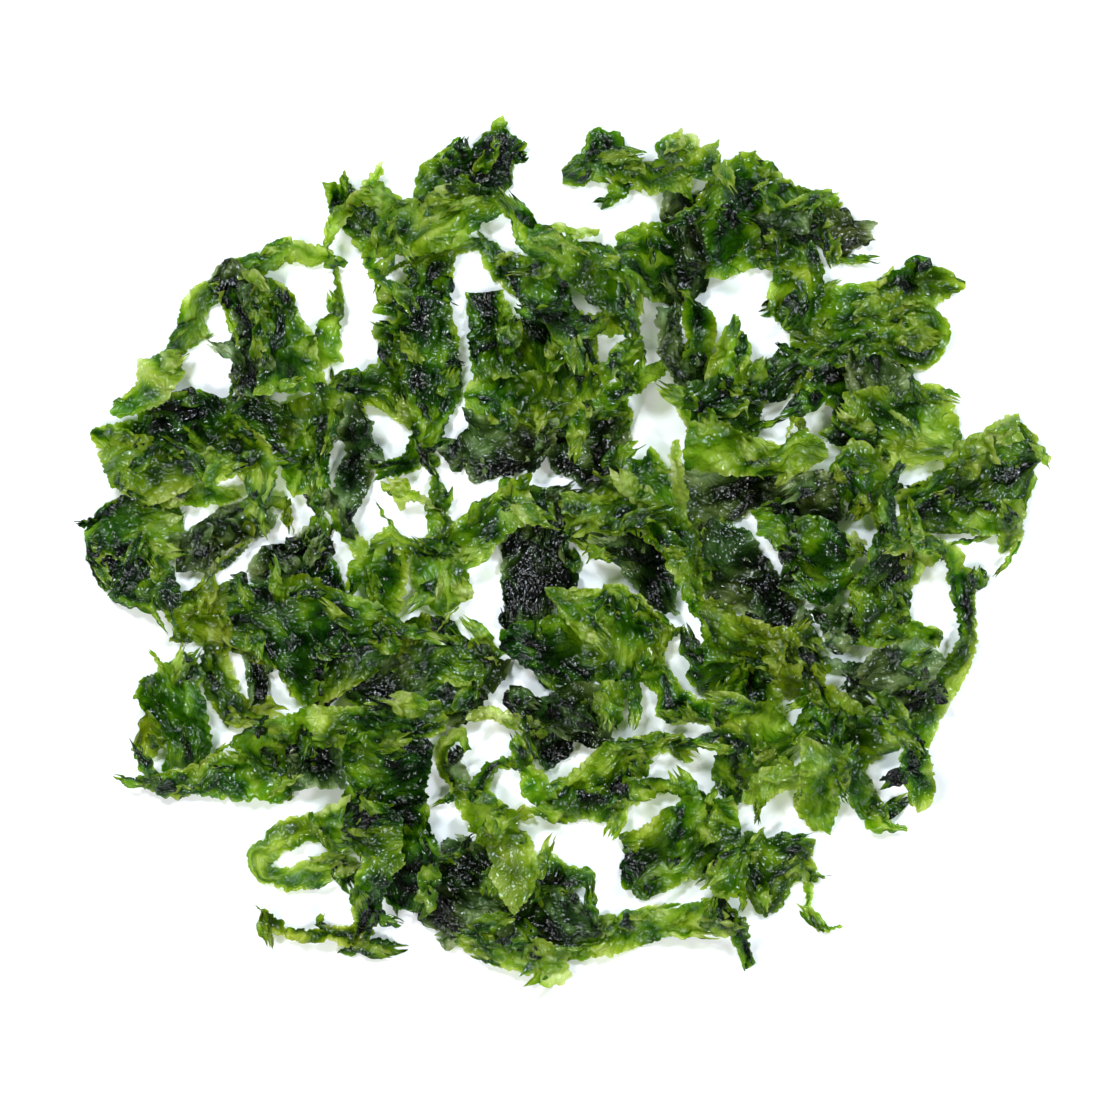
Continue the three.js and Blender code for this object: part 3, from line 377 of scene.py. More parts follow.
         [545,889,549,957], [581,904,577,946], [602,921,600,936]],
        ["green", [530,896,532,880], [548,898,542,858], [566,897,566,863], [592,884,591,866]],
        ["bright", [462,926,452,942], [486,932,480,962], [520,940,516,974], [550,944,548,984],
         [570,946,572,980]],
    ],
    "south_brown_leaf": [
        ["dark", [439,834,441,881], [465,839,465,892], [492,847,496,897], [522,868,522,907]],
        ["olive", [500,850,512,868], [506,820,520,826], [528,806,534,822]],
    ],
    "south_ribbon": [
        ["bright", [472,752,462,752], [469,731,460,741], [448,730,454,745], [435,750,447,758],
         [439,781,456,775], [461,811,483,791], [474,836,513,814], [487,861,536,839], [499,891,540,867],
         [514,913,532,896]],
        ["green", [466,796,486,806], [474,772,489,787], [492,760,498,773], [513,758,514,771],
         [531,765,521,781], [544,779,525,795], [558,795,538,804]],
        ["dark", [456,792,468,784], [446,774,464,772], [450,756,462,756]],
    ],
    "southwest_blob": [
        ["green", [137,679,179,659], [137,702,202,690], [150,716,206,715], [158,741,209,746],
         [160,771,201,769]],
        ["deep", [176,682,200,686], [181,660,203,668], [184,650,192,654]],
        ["olive", [160,724,162,746], [146,712,146,762], [130,741,134,752]],
    ],
    "southwest_tube": [
        ["green", [132,778,140,786], [160,771,165,798], [195,764,195,799], [230,753,232,799],
         [262,746,265,801], [292,753,297,797]],
        ["deep", [262,766,290,772], [230,750,296,754], [232,730,288,732], [262,722,280,722]],
    ],
    "southwest_long_fold": [
        ["green", [264,720,268,737], [300,713,305,747], [335,706,340,747], [370,706,376,747],
         [406,710,411,744], [442,703,447,732]],
        ["dark", [292,736,330,736], [288,762,342,760], [294,793,344,792]],
    ],
    "southwest_drape": [
        ["deep", [346,734,344,802], [370,734,372,834], [400,734,406,842], [432,738,432,832]],
        ["deep", [374,826,430,826], [371,856,442,852], [374,886,438,882], [394,917,418,908]],
    ],
    "south_ring_leaf": [
        ["bright", [352,798,352,842], [318,806,324,844], [292,818,302,848], [268,834,284,856],
         [242,864,268,864], [262,888,274,868], [292,890,292,864], [320,886,314,862], [347,869,336,852]],
        ["deep", [344,820,340,840], [376,800,372,867], [400,814,400,862]],
    ],
    "south_leg": [
        ["deep", [358,858,401,860], [356,886,387,892], [354,916,379,916], [351,936,376,931],
         [336,957,366,949]],
        ["olive", [364,928,364,946], [345,926,345,946], [320,926,318,942], [295,933,293,944],
         [281,924,275,933], [268,911,261,926], [253,904,255,912]],
        ["deep", [324,936,334,936], [313,924,322,926], [319,911,326,914]],
    ],
}

# How the corners of a CAD node are matched to a lobe's grid
CORNER_REACH = 0.12
LEVEL_SLACK = 0.08
SETTLE_STEPS = 60

# The film
SPACING = 0.34  # between the points of a sheet
FEWEST_POINTS = 8
PLAY_UP = 2.2  # how far the film may stray from its CAD facets
PLAY_DOWN = 1.2
PLAY_SIDE = 1.1
FLOOR_GAP = 0.12
BUCKLE_STEPS = 45
REACHES = ((1, 0.9), (2, 0.12))  # how many points apart two tied points are, and how strong the tie is
SLANT_STRENGTH = 0.2
ROOT_DIP = 0.8  # how far a side lobe's root dives under the blade it grows from
ROOT_LENGTH = 4.0

# The folds a sheet starts from, by their shortest and longest waves
FOLD_HEIGHT = 1.2
FOLD_WAVES = 6
FOLD_GAIN = 1.7
FOLD_WARP = 0.6
LONG_FOLDS = (2.4, 8.0)
FINE_FOLDS = (1.1, 2.6)
FINE_SHARE = 0.16
MARGIN_FOLDS = (3.0, 8.0)
MARGIN_SHARE = 0.4
MARGIN_TURN = 0.5
SPARE_SPREAD = 0.6  # how uneven the spare film is over a sheet
FRILL = 0.3  # spare length along a margin, over what the sheet has
FRILL_WIDTH = 1.8

# The ragged margins: bites by their pitch and share of the depth, and how far out and in they may go, as
# shares of the lobe's width or length
SNAG_DEPTH = 1.2
SNAG_OFFSET = 0.1
BITES = ((8.3, 0.7), (3.7, 0.45), (2.3, 0.12))
BITE_POWER = 1.5  # few bites are deep
BITE_DRIFT = 1.5
DRIFT_KNOTS = 9
SIDE_LIMITS = (-0.08, 0.24)
TIP_LIMITS = (-0.05, 0.2)

# The sizes of patches, along and across a lobe
WARP_PATCH = (5, 5)
FOLD_PATCH = (6, 4)
SPARE_PATCH = (7, 5)
COLOUR_PATCH = (6, 5)

# The small flaps that stand on a blade, one for so many square millimetres of it
FLAP_SEED = 1000
FLAP_AREA = 30
FLAP_ROWS = 17
FLAP_COLUMNS = 12
FLAP_BOUND = 86  # no flap reaches further from the middle of the mat
FLAP_LENGTH = (4.0, 11.0)
FLAP_WIDTH = (1.8, 5.0)
STRAND_SHARE = 0.2  # of the flaps are long narrow strands
STRAND_LENGTH = (5, 10)
STRAND_WIDTH = (0.9, 1.6)
STRAND_TURN = 0.8  # of the way to lie along the blade
FLAP_CROWDING = (0.6, 0.6)  # towards the two margins
FLAP_TILT = (0.1, 0.75)  # of a right angle, from pointing straight out or in
EDGE_TILT = 0.4  # more at a margin
MOST_TILT = 0.95
UPRIGHT = 0.8
FLAP_LIFT = (0.1, 0.8)  # of its root, in radians
FLAP_CURL = 1.6
FLAP_SETBACK = 0.6
FLAP_SINK = 0.5
FLAP_NECK = 0.55
NECK_GROWTH = 1.3
TIP_NARROWING = 0.5
TIP_DEPTH = 0.3
TIP_WAVES = (1, 3)
TIP_SHIFTS = (0, 3)
FLAP_FOLDS = ((5.0, 0.6), (3.0, 0.35), (1.6, 0.12))  # waves and their heights
FLAP_PHASES = (0, 6.3)
FLAP_SPARE = 0.15
FLAP_FRILL = 0.3
FLAP_STEPS = 30
FLAP_DENSITY = (-1.2, 0.8)  # of its blade's, in doublings
FLAP_PATCHES = (2, 2)
FLAP_THINNING = 0.3
GREEN_SHARE = 0.25  # of the flaps on a dark blade are green

# How strongly a layer of film takes out red, green and blue, and for each tone: how dense the film is, its
# spare length along and across, and how far its folds turn from running along the lobe, in radians
GREEN_STAIN = (1.17, 0.73, 3.8)
OLIVE_STAIN = (1.05, 0.76, 3.8)
DARK_STAIN = (1.15, 0.88, 1.5)
TONES = {
    "pale": dict(stain=GREEN_STAIN, density=0.85, along=0.05, across=0.20, turn=0.3),
    "bright": dict(stain=GREEN_STAIN, density=1.6, along=0.05, across=0.25, turn=0.3),
    "green": dict(stain=GREEN_STAIN, density=2.3, along=0.05, across=0.30, turn=0.35),
    "deep": dict(stain=GREEN_STAIN, density=3.2, along=0.05, across=0.32, turn=0.35),
    "dark": dict(stain=DARK_STAIN, density=3.5, along=0.05, across=0.28, turn=0.35),
    "olive": dict(stain=OLIVE_STAIN, density=2.2, along=0.05, across=0.28, turn=0.3),
}
DENSITY_SPREAD = 1.3  # how much denser or thinner patches of a film are, in doublings
FOLD_PAINTED_SHADE = 0.9  # painted shade: how much denser, so darker, the film is painted at the bottom of a fold than on its ridge, in doublings
HUE_SPREAD = 0.14
MARGIN_THINNING = 0.55
MARGIN_WIDTH = 1.2
GRAIN_SHIFT = 41.0  # keeps the wrinkles of one lobe from those of the next
GRAIN_ROOM = 900

# The studio, in metres: lights by azimuth and elevation in degrees, size, watts and tint
LIGHTS = {
    "softbox": (125, 58, (0.20, 0.13), 5.6, (0.84, 0.92, 1.0)),
    "window": (30, 50, (0.12, 0.18), 4.4, (0.80, 0.90, 1.0)),
    "left_fill": (205, 52, (0.16, 0.16), 2.6, (1.0, 1.0, 1.0)),
    "front_fill": (290, 55, (0.16, 0.16), 2.6, (1.0, 1.0, 1.0)),
}
LIGHT_DISTANCE = 0.85
DOME_TINT = (0.97, 0.985, 1.0, 1)
DOME_STRENGTH = 0.19
FLOOR_REACH = 2.0
CAMERA_HEIGHT = 1.2
FRAMED_HEIGHT = 0.006  # where the picture is as wide as the photograph


def on_plan(x, y):
    """The place of a pixel of the photograph, from the middle of the mat."""
    return (x - MAT_CENTRE_PX[0]) * MM_PER_PX, (MAT_CENTRE_PX[1] - y) * MM_PER_PX


def wave(value, length, phase):
    return math.sin(2 * math.pi * value / length + phase)


def smooth_run(stations, place):
    """A smooth curve through the stations (Catmull-Rom), at a place counted in stations."""
    last = len(stations) - 1
    index = min(int(place), last - 1)
    t = place - index
    p1, p2 = stations[index], stations[index + 1]
    p0 = stations[index - 1] if index > 0 else 2 * p1 - p2
    p3 = stations[index + 2] if index + 2 <= last else 2 * p2 - p1
    bend = 2 * p0 - 5 * p1 + 4 * p2 - p3
    twist = 3 * (p1 - p2) + p3 - p0
    return 0.5 * (2 * p1 + (p2 - p0) * t + bend * t * t + twist * t * t * t)


def even_rows(stations):
    """The places of evenly spaced rows along the middle of a lobe, its length and its mean width."""
    places = np.arange(STATION_SAMPLES * (len(stations) - 1) + 1) / STATION_SAMPLES
    samples = np.array([smooth_run(stations, place) for place in places])
    width = np.mean(np.hypot(samples[:, 2] - samples[:, 0], samples[:, 3] - samples[:, 1]))
    middle = (samples[:, :2] + samples[:, 2:]) / 2
    lengths = np.concatenate([[0], np.cumsum(np.hypot(*np.diff(middle, axis=0).T))])
    rows = max(2, math.floor(lengths[-1] / FACET + 0.5))
    targets = lengths[-1] * np.arange(rows + 1) / rows
    return np.interp(targets, lengths, places), lengths[-1], width


def lay_out(stations_px, seed):
    """A lobe's coarse grid from above, the same as its facets in the model, with its length and width."""
    ends = np.array(stations_px, float)
    stations = np.column_stack([*on_plan(ends[:, 0], ends[:, 1]), *on_plan(ends[:, 2], ends[:, 3])])
    places, total, width = even_rows(stations)
    rows = len(places) - 1
    columns = max(2, math.floor(width / FACET + 0.5))
    phase = seed * GOLDEN_ANGLE
    (x_by_row, x_by_column), (y_by_row, y_by_column) = JITTER_TURNS
    grid = np.empty((rows + 1, columns + 1, 2))
    for row, place in enumerate(places):
        ax, ay, bx, by = smooth_run(stations, place)
        across = np.array([bx - ax, by - ay])
        breadth = math.hypot(*across)
        along = total * row / rows
        end = -1 if row == 0 else 1 if row == rows else 0
        for column in range(columns + 1):
            share = column / columns
            side = -1 if column == 0 else 1 if column == columns else 0
            tooth = wave(along, TOOTH_PITCH, phase + side) + 0.5 * wave(along, SMALL_TOOTH_PITCH, phase)
            reach = side * tooth * TOOTH_DEPTH * min(1, breadth / TOOTH_BREADTH) / breadth
            notch = end * TOOTH_DEPTH * wave(share * breadth, TOOTH_PITCH, 2 * phase + end) / breadth
            jitter = 0 if side or end else JITTER * breadth / columns
            grid[row, column] = (
                ax + across[0] * (share + reach) - across[1] * notch
                + jitter * math.sin(phase + x_by_row * row + x_by_column * column),
                ay + across[1] * (share + reach) + across[0] * notch
                + jitter * math.cos(phase + y_by_row * row + y_by_column * column),
            )
    return grid, total, width


def cad_points(name):
    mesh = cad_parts[name].data
    points = np.empty(3 * len(mesh.vertices))
    mesh.vertices.foreach_get("co", points)
    return points.reshape(-1, 3) / MM


def fill_gaps(heights, known):
    """Unknown heights settle between their known neighbours."""
    filled = np.where(known, heights, np.mean(heights[known]) if known.any() else 0.0)
    for _ in range(SETTLE_STEPS):
        padded = np.pad(filled, 1, mode="edge")
        near = (padded[:-2, 1:-1] + padded[2:, 1:-1] + padded[1:-1, :-2] + padded[1:-1, 2:]) / 4
        filled = np.where(known, heights, near)
    return filled


def cad_heights(grid, points):
    """The height of a blade's middle at each point of a lobe's grid, read from the corners of its node."""
    heights = np.zeros(grid.shape[:2])
    known = np.zeros(grid.shape[:2], bool)
    lone = {}
    for place in np.ndindex(*heights.shape):
        near = np.hypot(points[:, 0] - grid[place][0], points[:, 1] - grid[place][1]) < CORNER_REACH
        levels = np.sort(points[near, 2])
        lower = [z for z in levels if np.any(abs(levels - z - BLADE) < LEVEL_SLACK)]
        if lower:
            heights[place] = lower[-1] + BLADE / 2
            known[place] = True
        elif len(levels):
            lone[place] = levels[-1]
    guess = fill_gaps(heights, known)
    for place, level in lone.items():
        above, below = level + BLADE / 2, level - BLADE / 2
        heights[place] = min(above, below, key=lambda z: abs(z - guess[place]))
        known[place] = True
    return fill_gaps(heights, known)


def curve_weights(t):
    return np.array([
        -0.5 * t + t**2 - 0.5 * t**3,
        1 - 2.5 * t**2 + 1.5 * t**3,
        0.5 * t + 2 * t**2 - 1.5 * t**3,
        -0.5 * t**2 + 0.5 * t**3,
    ])


def smooth_sheet(controls, u, v):
    """Points of the smooth surface through a grid of control points, at rows u and columns v."""
    padded = np.pad(controls, ((1, 1), (1, 1), (0, 0)), mode="reflect", reflect_type="odd")
    row = np.clip(np.floor(u).astype(int), 0, controls.shape[0] - 2)
    column = np.clip(np.floor(v).astype(int), 0, controls.shape[1] - 2)
    wu, wv = curve_weights(u - row), curve_weights(v - column)
    out = 0
    for a in range(4):
        for b in range(4):
            out = out + (wu[a] * wv[b])[..., None] * padded[row + a, column + b]
    return out


def grid_of(shape, rows, columns):
    """Even places over a grid: from 0 to rows, and between the two ends of columns."""
    return np.meshgrid(np.linspace(0, rows, shape[0]), np.linspace(*columns, shape[1]), indexing="ij")


def soft_noise(random, shape, cells):
    """Smooth noise from -1 to 1 over a grid, with a number of cells each way."""
    rows, columns = (max(2, round(cell)) for cell in cells)
    lattice = random.uniform(-1, 1, (rows + 1, columns + 1, 1))
    return smooth_sheet(lattice, *grid_of(shape, rows, (0, columns)))[..., 0]


def patches_of(random, along, across, patch):
    """Smooth noise over places given in millimetres, in patches of a size."""
    return soft_noise(random, along.shape, (np.max(along) / patch[0], np.max(across) / patch[1]))


def creases(random, along, across, turn, shortest, longest):
    """Fold lines, from -1 to 1, over places given in millimetres: many sharp waves that come and go, and
    turn from running along by the angle turn or so."""
    total, most = 0, 0
    warp = patches_of(random, along, across, WARP_PATCH)
    for _ in range(FOLD_WAVES):
        length = shortest * (longest / shortest) ** random.uniform()
        angle = random.normal(0, turn)
        place = (across * math.cos(angle) + along * math.sin(angle)) / length
        phase = place + random.uniform() + FOLD_WARP * warp
        fold = 4 * np.abs(phase % 1 - 0.5) - 1
        reach = 0.5 + 0.5 * patches_of(random, along, across, FOLD_PATCH)
        total = total + length * reach * fold
        most += length / 2
    return np.clip(FOLD_GAIN * total / most, -1, 1)


def ragged_line(random, count, length):
    """How far a margin is torn back along its length: points between bites of many sizes."""
    place = np.linspace(0, length, count)
    drift = random.uniform(-BITE_DRIFT, BITE_DRIFT, DRIFT_KNOTS)
    warp = np.interp(place, np.linspace(0, length, DRIFT_KNOTS), drift)
    depth = np.zeros(count)
    for pitch, share in BITES:
        tooth = np.abs(((place + warp) / pitch + random.uniform()) % 1 - 0.5) * 2
        sizes = random.uniform(0, 1, 2 + int(length / pitch)) ** BITE_POWER
        depth += share * np.interp(place, np.linspace(0, length, len(sizes)), sizes) * (1 - tooth)
    return SNAG_DEPTH * (depth - SNAG_OFFSET)


def unit(vectors):
    return vectors / (np.linalg.norm(vectors, axis=-1, keepdims=True) + TINY)


def grid_normals(points):
    return unit(np.cross(np.gradient(points, axis=0), np.gradient(points, axis=1)))


def pull(points, first, second, rest, strength):
    """Moves two sets of points together or apart, towards their rest distance."""
    a, b = points[first], points[second]
    gap = b - a
    size = np.linalg.norm(gap, axis=-1) + TINY
    move = (0.5 * strength * (size - rest) / size)[..., None] * gap
    points[first] = a + move
    points[second] = b - move


def pairs_along(rows, step):
    """Pairs of places a number of rows apart, in groups where none shares a point."""
    for start in range(2 * step):
        if rows - start > step:
            yield slice(start, rows - step, 2 * step), slice(start + step, rows, 2 * step)


def ties_of(base, spare_along, spare_across):
    """A sheet's ties: the two sets of points that each holds apart, their distance and its strength."""
    rows, columns = base.shape[:2]
    every, all_but_last, all_but_first = slice(None), slice(None, -1), slice(1, None)
    found = []
    for step, strength in REACHES:
        for one, other in pairs_along(rows, step):
            found.append(((one, every), (other, every), spare_along, strength))
        for one, other in pairs_along(columns, step):
            found.append(((every, one), (every, other), spare_across, strength))
    slanting = (spare_along + spare_across) / 2
    for one, other in pairs_along(rows, 1):
        for left, right in ((all_but_last, all_but_first), (all_but_first, all_but_last)):
            found.append(((one, left), (other, right), slanting, SLANT_STRENGTH))
    return [
        (first, second, np.linalg.norm(base[second] - base[first], axis=-1) * (1 + spare[first]), strength)
        for first, second, spare, strength in found
    ]


def buckle(base, spare_along, spare_across, kick, steps):
    """Lets a sheet with more film than room fold itself. The spares are shares of its length, and kick the
    small bumps that it folds from. It stays near its base and off the floor."""
    points = base + grid_normals(base) * kick[..., None]
    ties = ties_of(base, spare_along, spare_across)
    middle, play = (PLAY_UP - PLAY_DOWN) / 2, (PLAY_UP + PLAY_DOWN) / 2
    for _ in range(steps):
        for tie in ties:
            pull(points, *tie)
        stray = points - base
        stray[..., :2] = PLAY_SIDE * np.tanh(stray[..., :2] / PLAY_SIDE)
        stray[..., 2] = middle + play * np.tanh((stray[..., 2] - middle) / play)
        points = base + stray
        points[..., 2] = np.maximum(points[..., 2], FLOOR_GAP)
    return points


def film_colour(random, look, folds, cells, thinning):
    """What a film lets through: denser in patches, with painted shade down in its folds and painted light on
    their ridges, and thinner where told.
    """
    shape = folds.shape
    density = look["density"] * 2 ** (DENSITY_SPREAD * soft_noise(random, shape, cells))
    density *= 2 ** (0.5 * DENSITY_SPREAD * soft_noise(random, shape, (3 * cells[0], 3 * cells[1])))
    # painted shade and painted light: the film is made denser at the bottom of each fold and thinner on its
    # ridge
    density *= 2 ** (-FOLD_PAINTED_SHADE * np.tanh(folds))
    stain = np.array(look["stain"]) * np.ones(shape + (1,))
    stain[..., 0] *= 1 + HUE_SPREAD * soft_noise(random, shape, cells)
    return np.exp(-(density * thinning)[..., None] * stain)


def lobe_sheet(stations, tone, seed, points, rooted):
    """The film of one lobe: its points, colours and grain, which is the place along and across it."""
    random = np.random.RandomState(seed)
    look = TONES[tone]
    grid, length, width = lay_out(stations, seed)
    controls = np.dstack([grid, cad_heights(grid, points)])
    shape = tuple(max(FEWEST_POINTS, round(size / SPACING)) for size in (length, width))
    share_along, share_across = grid_of(shape, 1, (0, 1))
    torn_a = np.clip(ragged_line(random, shape[0], length) / width, *SIDE_LIMITS)[:, None]
    torn_b = np.clip(ragged_line(random, shape[0], length) / width, *SIDE_LIMITS)[:, None]
    torn_tip = np.clip(ragged_line(random, shape[1], width) / length, *TIP_LIMITS)[None, :]
    v = torn_a + (1 - torn_a - torn_b) * share_across
    u = (1 - torn_tip) * share_along
    base = smooth_sheet(controls, u * (controls.shape[0] - 1), v * (controls.shape[1] - 1))
    if rooted:
        dive = np.clip(1 - share_along * length / ROOT_LENGTH, 0, 1)
        base[..., 2] -= ROOT_DIP * dive**2
    along, across = share_along * length, share_across * width
    side = np.minimum(across, width - across)
    frill = np.exp(-side / FRILL_WIDTH)
    kick = FOLD_HEIGHT * creases(random, along, across, look["turn"], *LONG_FOLDS)
    kick += FINE_SHARE * FOLD_HEIGHT * creases(random, along, across, 2 * look["turn"], *FINE_FOLDS)
    kick += MARGIN_SHARE * frill * FOLD_HEIGHT * creases(random, across, along, MARGIN_TURN, *MARGIN_FOLDS)
    patches = patches_of(random, along, across, SPARE_PATCH)
    spare_along = look["along"] * (1 + SPARE_SPREAD * patches) + FRILL * frill
    film = buckle(base, spare_along, look["across"] * (1 - SPARE_SPREAD * patches), kick, BUCKLE_STEPS)
    margin = np.minimum(side, length - along)
    thinning = 1 - MARGIN_THINNING * np.exp(-margin / MARGIN_WIDTH)
    colour = film_colour(random, look, kick, (length / COLOUR_PATCH[0], width / COLOUR_PATCH[1]), thinning)
    grain = np.dstack([along + GRAIN_SHIFT * seed, across, np.zeros(shape)])
    return film, colour, grain


def flap_roots(random, film, count):
    """Where flaps stand on a blade, the ways ahead and up from there, and which of them are strands."""
    rows, columns = film.shape[:2]
    row = random.randint(1, rows - 1, count)
    column = np.clip(random.beta(*FLAP_CROWDING, count) * columns, 1, columns - 2).astype(int)
    lengthwise = unit(np.gradient(film, axis=0)[row, column])
    normal = unit(np.cross(lengthwise, np.gradient(film, axis=1)[row, column]))
    normal *= np.where(normal[:, 2:] < 0, -1, 1)
    edge = np.abs(2 * column / columns - 1)
    inward = random.uniform(size=count) < edge
    outward = np.where((column < columns / 2) != inward, -1, 1) * np.pi / 2
    tilt = np.clip(random.uniform(*FLAP_TILT, count) + EDGE_TILT * edge, 0, MOST_TILT)
    swing = np.where(random.uniform(size=count) < 0.5, -1, 1) * (np.pi / 2) * tilt
    strand = random.uniform(size=count) < STRAND_SHARE
    turn = np.sign(swing) * (np.pi / 2 - np.abs(swing)) * STRAND_TURN
    heading = outward + swing + np.where(strand, turn, 0)
    crosswise = np.cross(normal, lengthwise)
    ahead = unit(lengthwise * np.cos(heading)[:, None] + crosswise * np.sin(heading)[:, None])
    return film[row, column], ahead, unit(normal + (0, 0, UPRIGHT)), strand


def flap_sheets(random, film, tone, area):
    """Small flaps and narrow strands of film that stand on a blade, with their colours and grains."""
    count = max(1, round(area / FLAP_AREA))
    place, ahead, up, strand = flap_roots(random, film, count)
    length = np.where(strand, random.uniform(*STRAND_LENGTH, count), random.uniform(*FLAP_LENGTH, count))
    width = np.where(strand, random.uniform(*STRAND_WIDTH, count), random.uniform(*FLAP_WIDTH, count))
    tips = place + ahead * length[:, None]
    ahead *= np.where(np.hypot(tips[:, 0], tips[:, 1]) > FLAP_BOUND, -1, 1)[:, None]
    aside = np.cross(up, ahead)
    shape = (FLAP_ROWS, FLAP_COLUMNS)
    s, a = (share[..., None] for share in grid_of(shape, 1, (-0.5, 0.5)))
    angle = random.uniform(*FLAP_LIFT, count) * (1 - FLAP_CURL * s)
    step = length / (FLAP_ROWS - 1)
    run = np.cumsum(np.cos(angle) * step, axis=0) - FLAP_SETBACK
    rise = np.cumsum(np.sin(angle) * step, axis=0) - FLAP_SINK
    notches = np.sin(np.pi * a * random.uniform(*TIP_WAVES, count) + random.uniform(*TIP_SHIFTS, count))
    run = run * (1 - TIP_DEPTH * s * np.abs(notches))
    breadth = width * np.minimum(1, FLAP_NECK + NECK_GROWTH * s) * (1 - TIP_NARROWING * s**4)
    base = place + run[..., None] * ahead + rise[..., None] * up + (a * breadth)[..., None] * aside
    base[..., 2] = np.maximum(base[..., 2], FLOOR_GAP)

    kick = 0
    for wavelength, height in FLAP_FOLDS:
        turn = random.uniform(0, np.pi, count)
        phase = random.uniform(*FLAP_PHASES, count)
        place_along = s * length * np.cos(turn) + a * width * np.sin(turn)
        kick = kick + height * np.sin(2 * np.pi * place_along / wavelength + phase)
    kick = kick * np.minimum(1, width / 2)
    spare = np.full(kick.shape, FLAP_SPARE) + FLAP_FRILL * np.abs(2 * a) * s
    sheets = buckle(base, spare, spare, kick, FLAP_STEPS)

    found = []
    s, a = (share[..., 0] for share in (s, a))
    for index in range(count):
        look = dict(TONES["green" if tone == "dark" and random.uniform() < GREEN_SHARE else tone])
        look["density"] *= 2 ** random.uniform(*FLAP_DENSITY)
        colour = film_colour(random, look, kick[:, :, index], FLAP_PATCHES, 1 - FLAP_THINNING * s)
        shift = random.uniform(0, GRAIN_ROOM)
        grain = np.dstack([shift + s * length[index], a * width[index], np.zeros(shape)])
        found.append((sheets[:, :, index], colour, grain))
    return found


def sheet_faces(shape, start):
    """The faces of a sheet whose points follow a number of others, four corners each."""
    index = start + np.arange(shape[0] * shape[1]).reshape(shape)
    corners = [index[:-1, :-1], index[1:, :-1], index[1:, 1:], index[:-1, 1:]]
    return np.stack(corners, axis=-1).reshape(-1, 4)


def add_object(name, data):
    made = bpy.data.objects.new(name, data)
    bpy.context.scene.collection.objects.link(made)
    return made


def frond_piece(name, lobes, seed, material):
    cad = cad_points(name)
    points, faces, colours, grains = [], [], [], []
    count = 0
    for index, (tone, *stations) in enumerate(lobes):
        random = np.random.RandomState(FLAP_SEED + seed + index)
        blade = lobe_sheet(stations, tone, seed + index, cad, index > 0)
        area = np.ptp(blade[2][..., 0]) * np.ptp(blade[2][..., 1])
        for film, colour, grain in [blade] + flap_sheets(random, blade[0], tone, area):
            points.append(film.reshape(-1, 3))
            faces.append(sheet_faces(film.shape[:2], count))
            colours.append(colour.reshape(-1, 3))
            grains.append(grain.reshape(-1, 3))
            count += len(points[-1])
    mesh = bpy.data.meshes.new(name + "_film")
    mesh.from_pydata((np.concatenate(points) * MM).tolist(), [], np.concatenate(faces).tolist())
    rgba = np.column_stack([np.concatenate(colours), np.ones(count)]).astype(np.float32)
    mesh.attributes.new("film", "FLOAT_COLOR", "POINT").data.foreach_set("color", rgba.ravel())
    grain = np.concatenate(grains).astype(np.float32)
    mesh.attributes.new("grain", "FLOAT_VECTOR", "POINT").data.foreach_set("vector", grain.ravel())
    mesh.polygons.foreach_set("use_smooth", np.ones(len(mesh.polygons), bool))
    mesh.materials.append(material)
    mesh.update()
    piece = add_object(name + "_film", mesh)
    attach(piece, "root")
    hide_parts(name)


def node(tree, kind, inputs=None, **settings):
    """A new shader node with some settings, each input set to a value or linked to another node's output."""
    made = tree.nodes.new(kind)
    for key, value in settings.items():
        setattr(made, key, value)
    for key, value in (inputs or {}).items():
        if isinstance(value, bpy.types.NodeSocket):
            tree.links.new(value, made.inputs[key])
        else:
            made.inputs[key].default_value = value
    return made


def wrinkles(tree):
    """The bump of fine pleats along a film and of small facets with sharp edges, from its grain."""
    grain = node(tree, "ShaderNodeAttribute", attribute_name="grain").outputs["Vector"]
    wide = {"Vector": grain, "Scale": 0.45, "Detail": 1.0}
    sway = node(tree, "ShaderNodeTexNoise", wide, noise_dimensions="2D").outputs["Color"]
    bend = {0: sway, 1: (3.0, 3.0, 0), 2: grain}
    bent = node(tree, "ShaderNodeVectorMath", bend, operation="MULTIPLY_ADD").outputs["Vector"]
    creased = node(tree, "ShaderNodeMapping", {"Vector": bent, "Scale": (0.4, 1.0, 1.0)}).outputs["Vector"]
    cells = {"Vector": creased, "Scale": 0.8}
    facets = node(tree, "ShaderNodeTexVoronoi", cells, voronoi_dimensions="2D", feature="DISTANCE_TO_EDGE")
    pleats = node(tree, "ShaderNodeMapping", {"Vector": grain, "Scale": (0.25, 1.0, 1.0)}).outputs["Vector"]
    narrow = {"Vector": pleats, "Scale": 2.0, "Detail": 2.0}
    fine = node(tree, "ShaderNodeTexNoise", narrow, noise_dimensions="2D").outputs["Fac"]
    heights = {0: facets.outputs["Distance"], 1: 2.0, 2: fine}
    height = node(tree, "ShaderNodeMath", heights, operation="MULTIPLY_ADD").outputs["Value"]
    bump = node(tree, "ShaderNodeBump", {"Height": height, "Strength": 0.85, "Distance": 0.0004})
    return bump.outputs["Normal"]


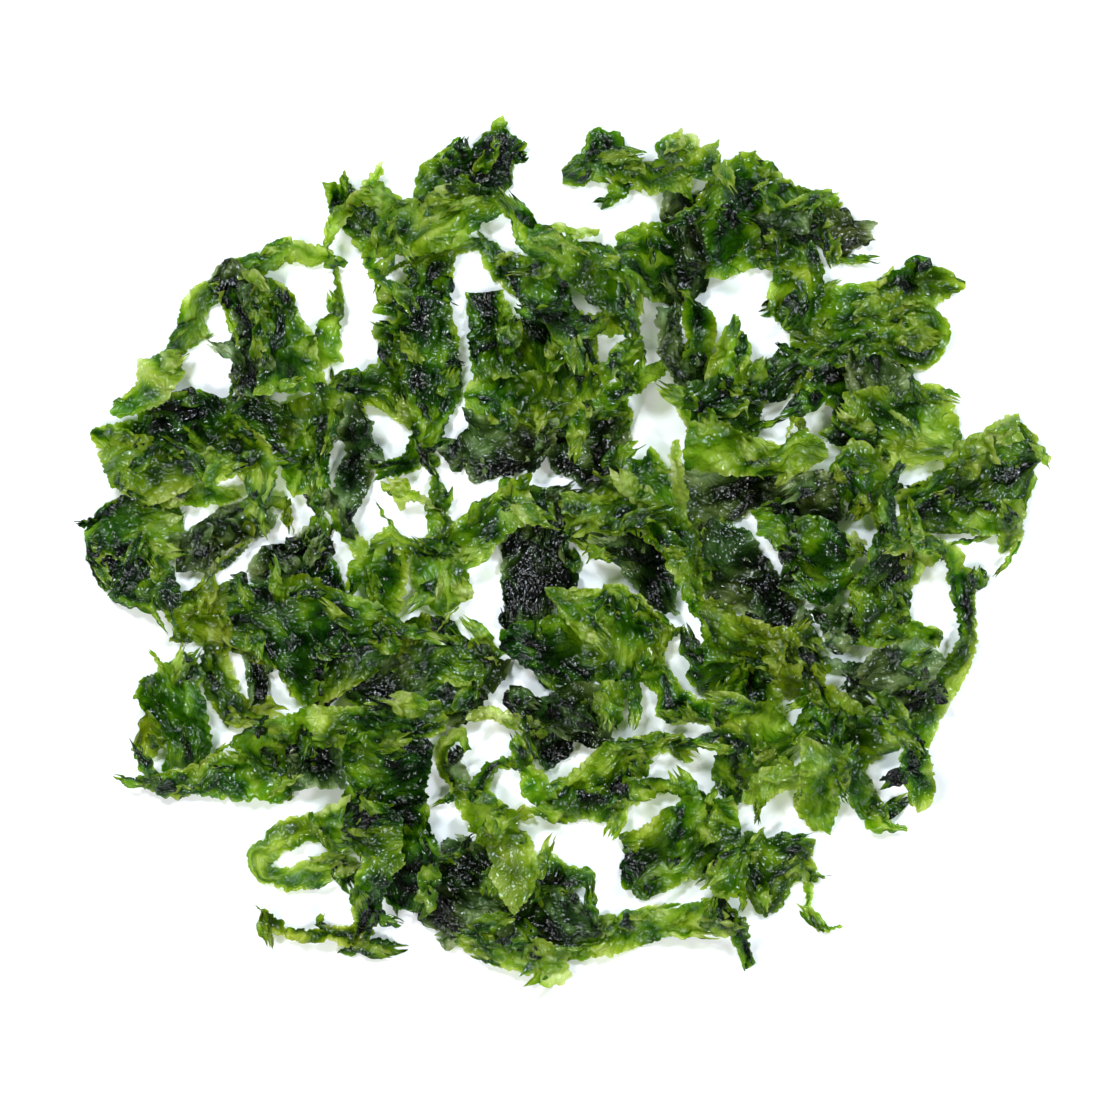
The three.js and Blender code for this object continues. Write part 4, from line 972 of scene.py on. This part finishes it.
def wet_film():
    """Wet algal film: what passes it straight or scattered takes its colour, and its face is glossy."""
    material = bpy.data.materials.new("wet_film")
    material.use_nodes = True
    tree = material.node_tree
    tree.nodes.clear()
    colour = node(tree, "ShaderNodeAttribute", attribute_name="film").outputs["Color"]
    normal = wrinkles(tree)
    tint = {"Factor": 1.0, "A": colour, "B": (0.68, 0.73, 0.38, 1)}
    reflect = node(tree, "ShaderNodeMix", tint, data_type="RGBA", blend_type="MULTIPLY").outputs["Result"]
    gloss = {"Roughness": 0.13, "IOR": 1.5, "Specular IOR Level": 1.0}
    face = node(tree, "ShaderNodeBsdfPrincipled", {"Base Color": reflect, "Normal": normal, **gloss})
    scatter = node(tree, "ShaderNodeBsdfTranslucent", {"Color": colour, "Normal": normal})
    clear = node(tree, "ShaderNodeBsdfTransparent", {"Color": colour})
    body = node(tree, "ShaderNodeMixShader", {0: 0.62, 1: scatter.outputs[0], 2: face.outputs[0]})
    whole = node(tree, "ShaderNodeMixShader", {0: 0.72, 1: clear.outputs[0], 2: body.outputs[0]})
    node(tree, "ShaderNodeOutputMaterial", {"Surface": whole.outputs[0]})
    return material


def floor():
    mesh = bpy.data.meshes.new("floor")
    corners = [(x * FLOOR_REACH, y * FLOOR_REACH, 0) for x, y in ((-1, -1), (1, -1), (1, 1), (-1, 1))]
    mesh.from_pydata(corners, [], [(0, 1, 2, 3)])
    material = bpy.data.materials.new("floor")
    material.use_nodes = True
    face = material.node_tree.nodes["Principled BSDF"]
    face.inputs["Base Color"].default_value = (0.93, 0.935, 0.95, 1)
    face.inputs["Roughness"].default_value = 0.9
    mesh.materials.append(material)
    add_object("floor", mesh)


def area_light(name, azimuth, elevation, size, power, tint):
    turn, rise = math.radians(azimuth), math.radians(elevation)
    flat = LIGHT_DISTANCE * math.cos(rise)
    place = (flat * math.cos(turn), flat * math.sin(turn), LIGHT_DISTANCE * math.sin(rise))
    data = bpy.data.lights.new(name, "AREA")
    data.shape = "RECTANGLE"
    data.size, data.size_y = size
    data.energy = power
    data.color = tint
    lamp = add_object(name, data)
    lamp.location = place
    lamp.rotation_euler = (-Vector(place)).to_track_quat("-Z", "Y").to_euler()


def lights():
    world = bpy.data.worlds.new("studio")
    world.use_nodes = True
    dome = world.node_tree.nodes["Background"].inputs
    dome["Color"].default_value = DOME_TINT
    dome["Strength"].default_value = DOME_STRENGTH
    bpy.context.scene.world = world
    for name, settings in LIGHTS.items():
        area_light(name, *settings)


def camera():
    data = bpy.data.cameras.new("camera")
    data.sensor_width = 36
    data.lens = data.sensor_width * (CAMERA_HEIGHT - FRAMED_HEIGHT) / (PHOTO_PX * MM_PER_PX * MM)
    eye = add_object("camera", data)
    x, y = on_plan(PHOTO_PX / 2, PHOTO_PX / 2)
    eye.location = (x * MM, y * MM, CAMERA_HEIGHT)
    bpy.context.scene.camera = eye


def build():
    camera()
    lights()
    floor()
    material = wet_film()
    seed = 1
    for name, lobes in FRONDS.items():
        frond_piece(name, lobes, seed, material)
        seed += len(lobes)


build()
bpy.context.scene.view_settings.view_transform = "Standard"
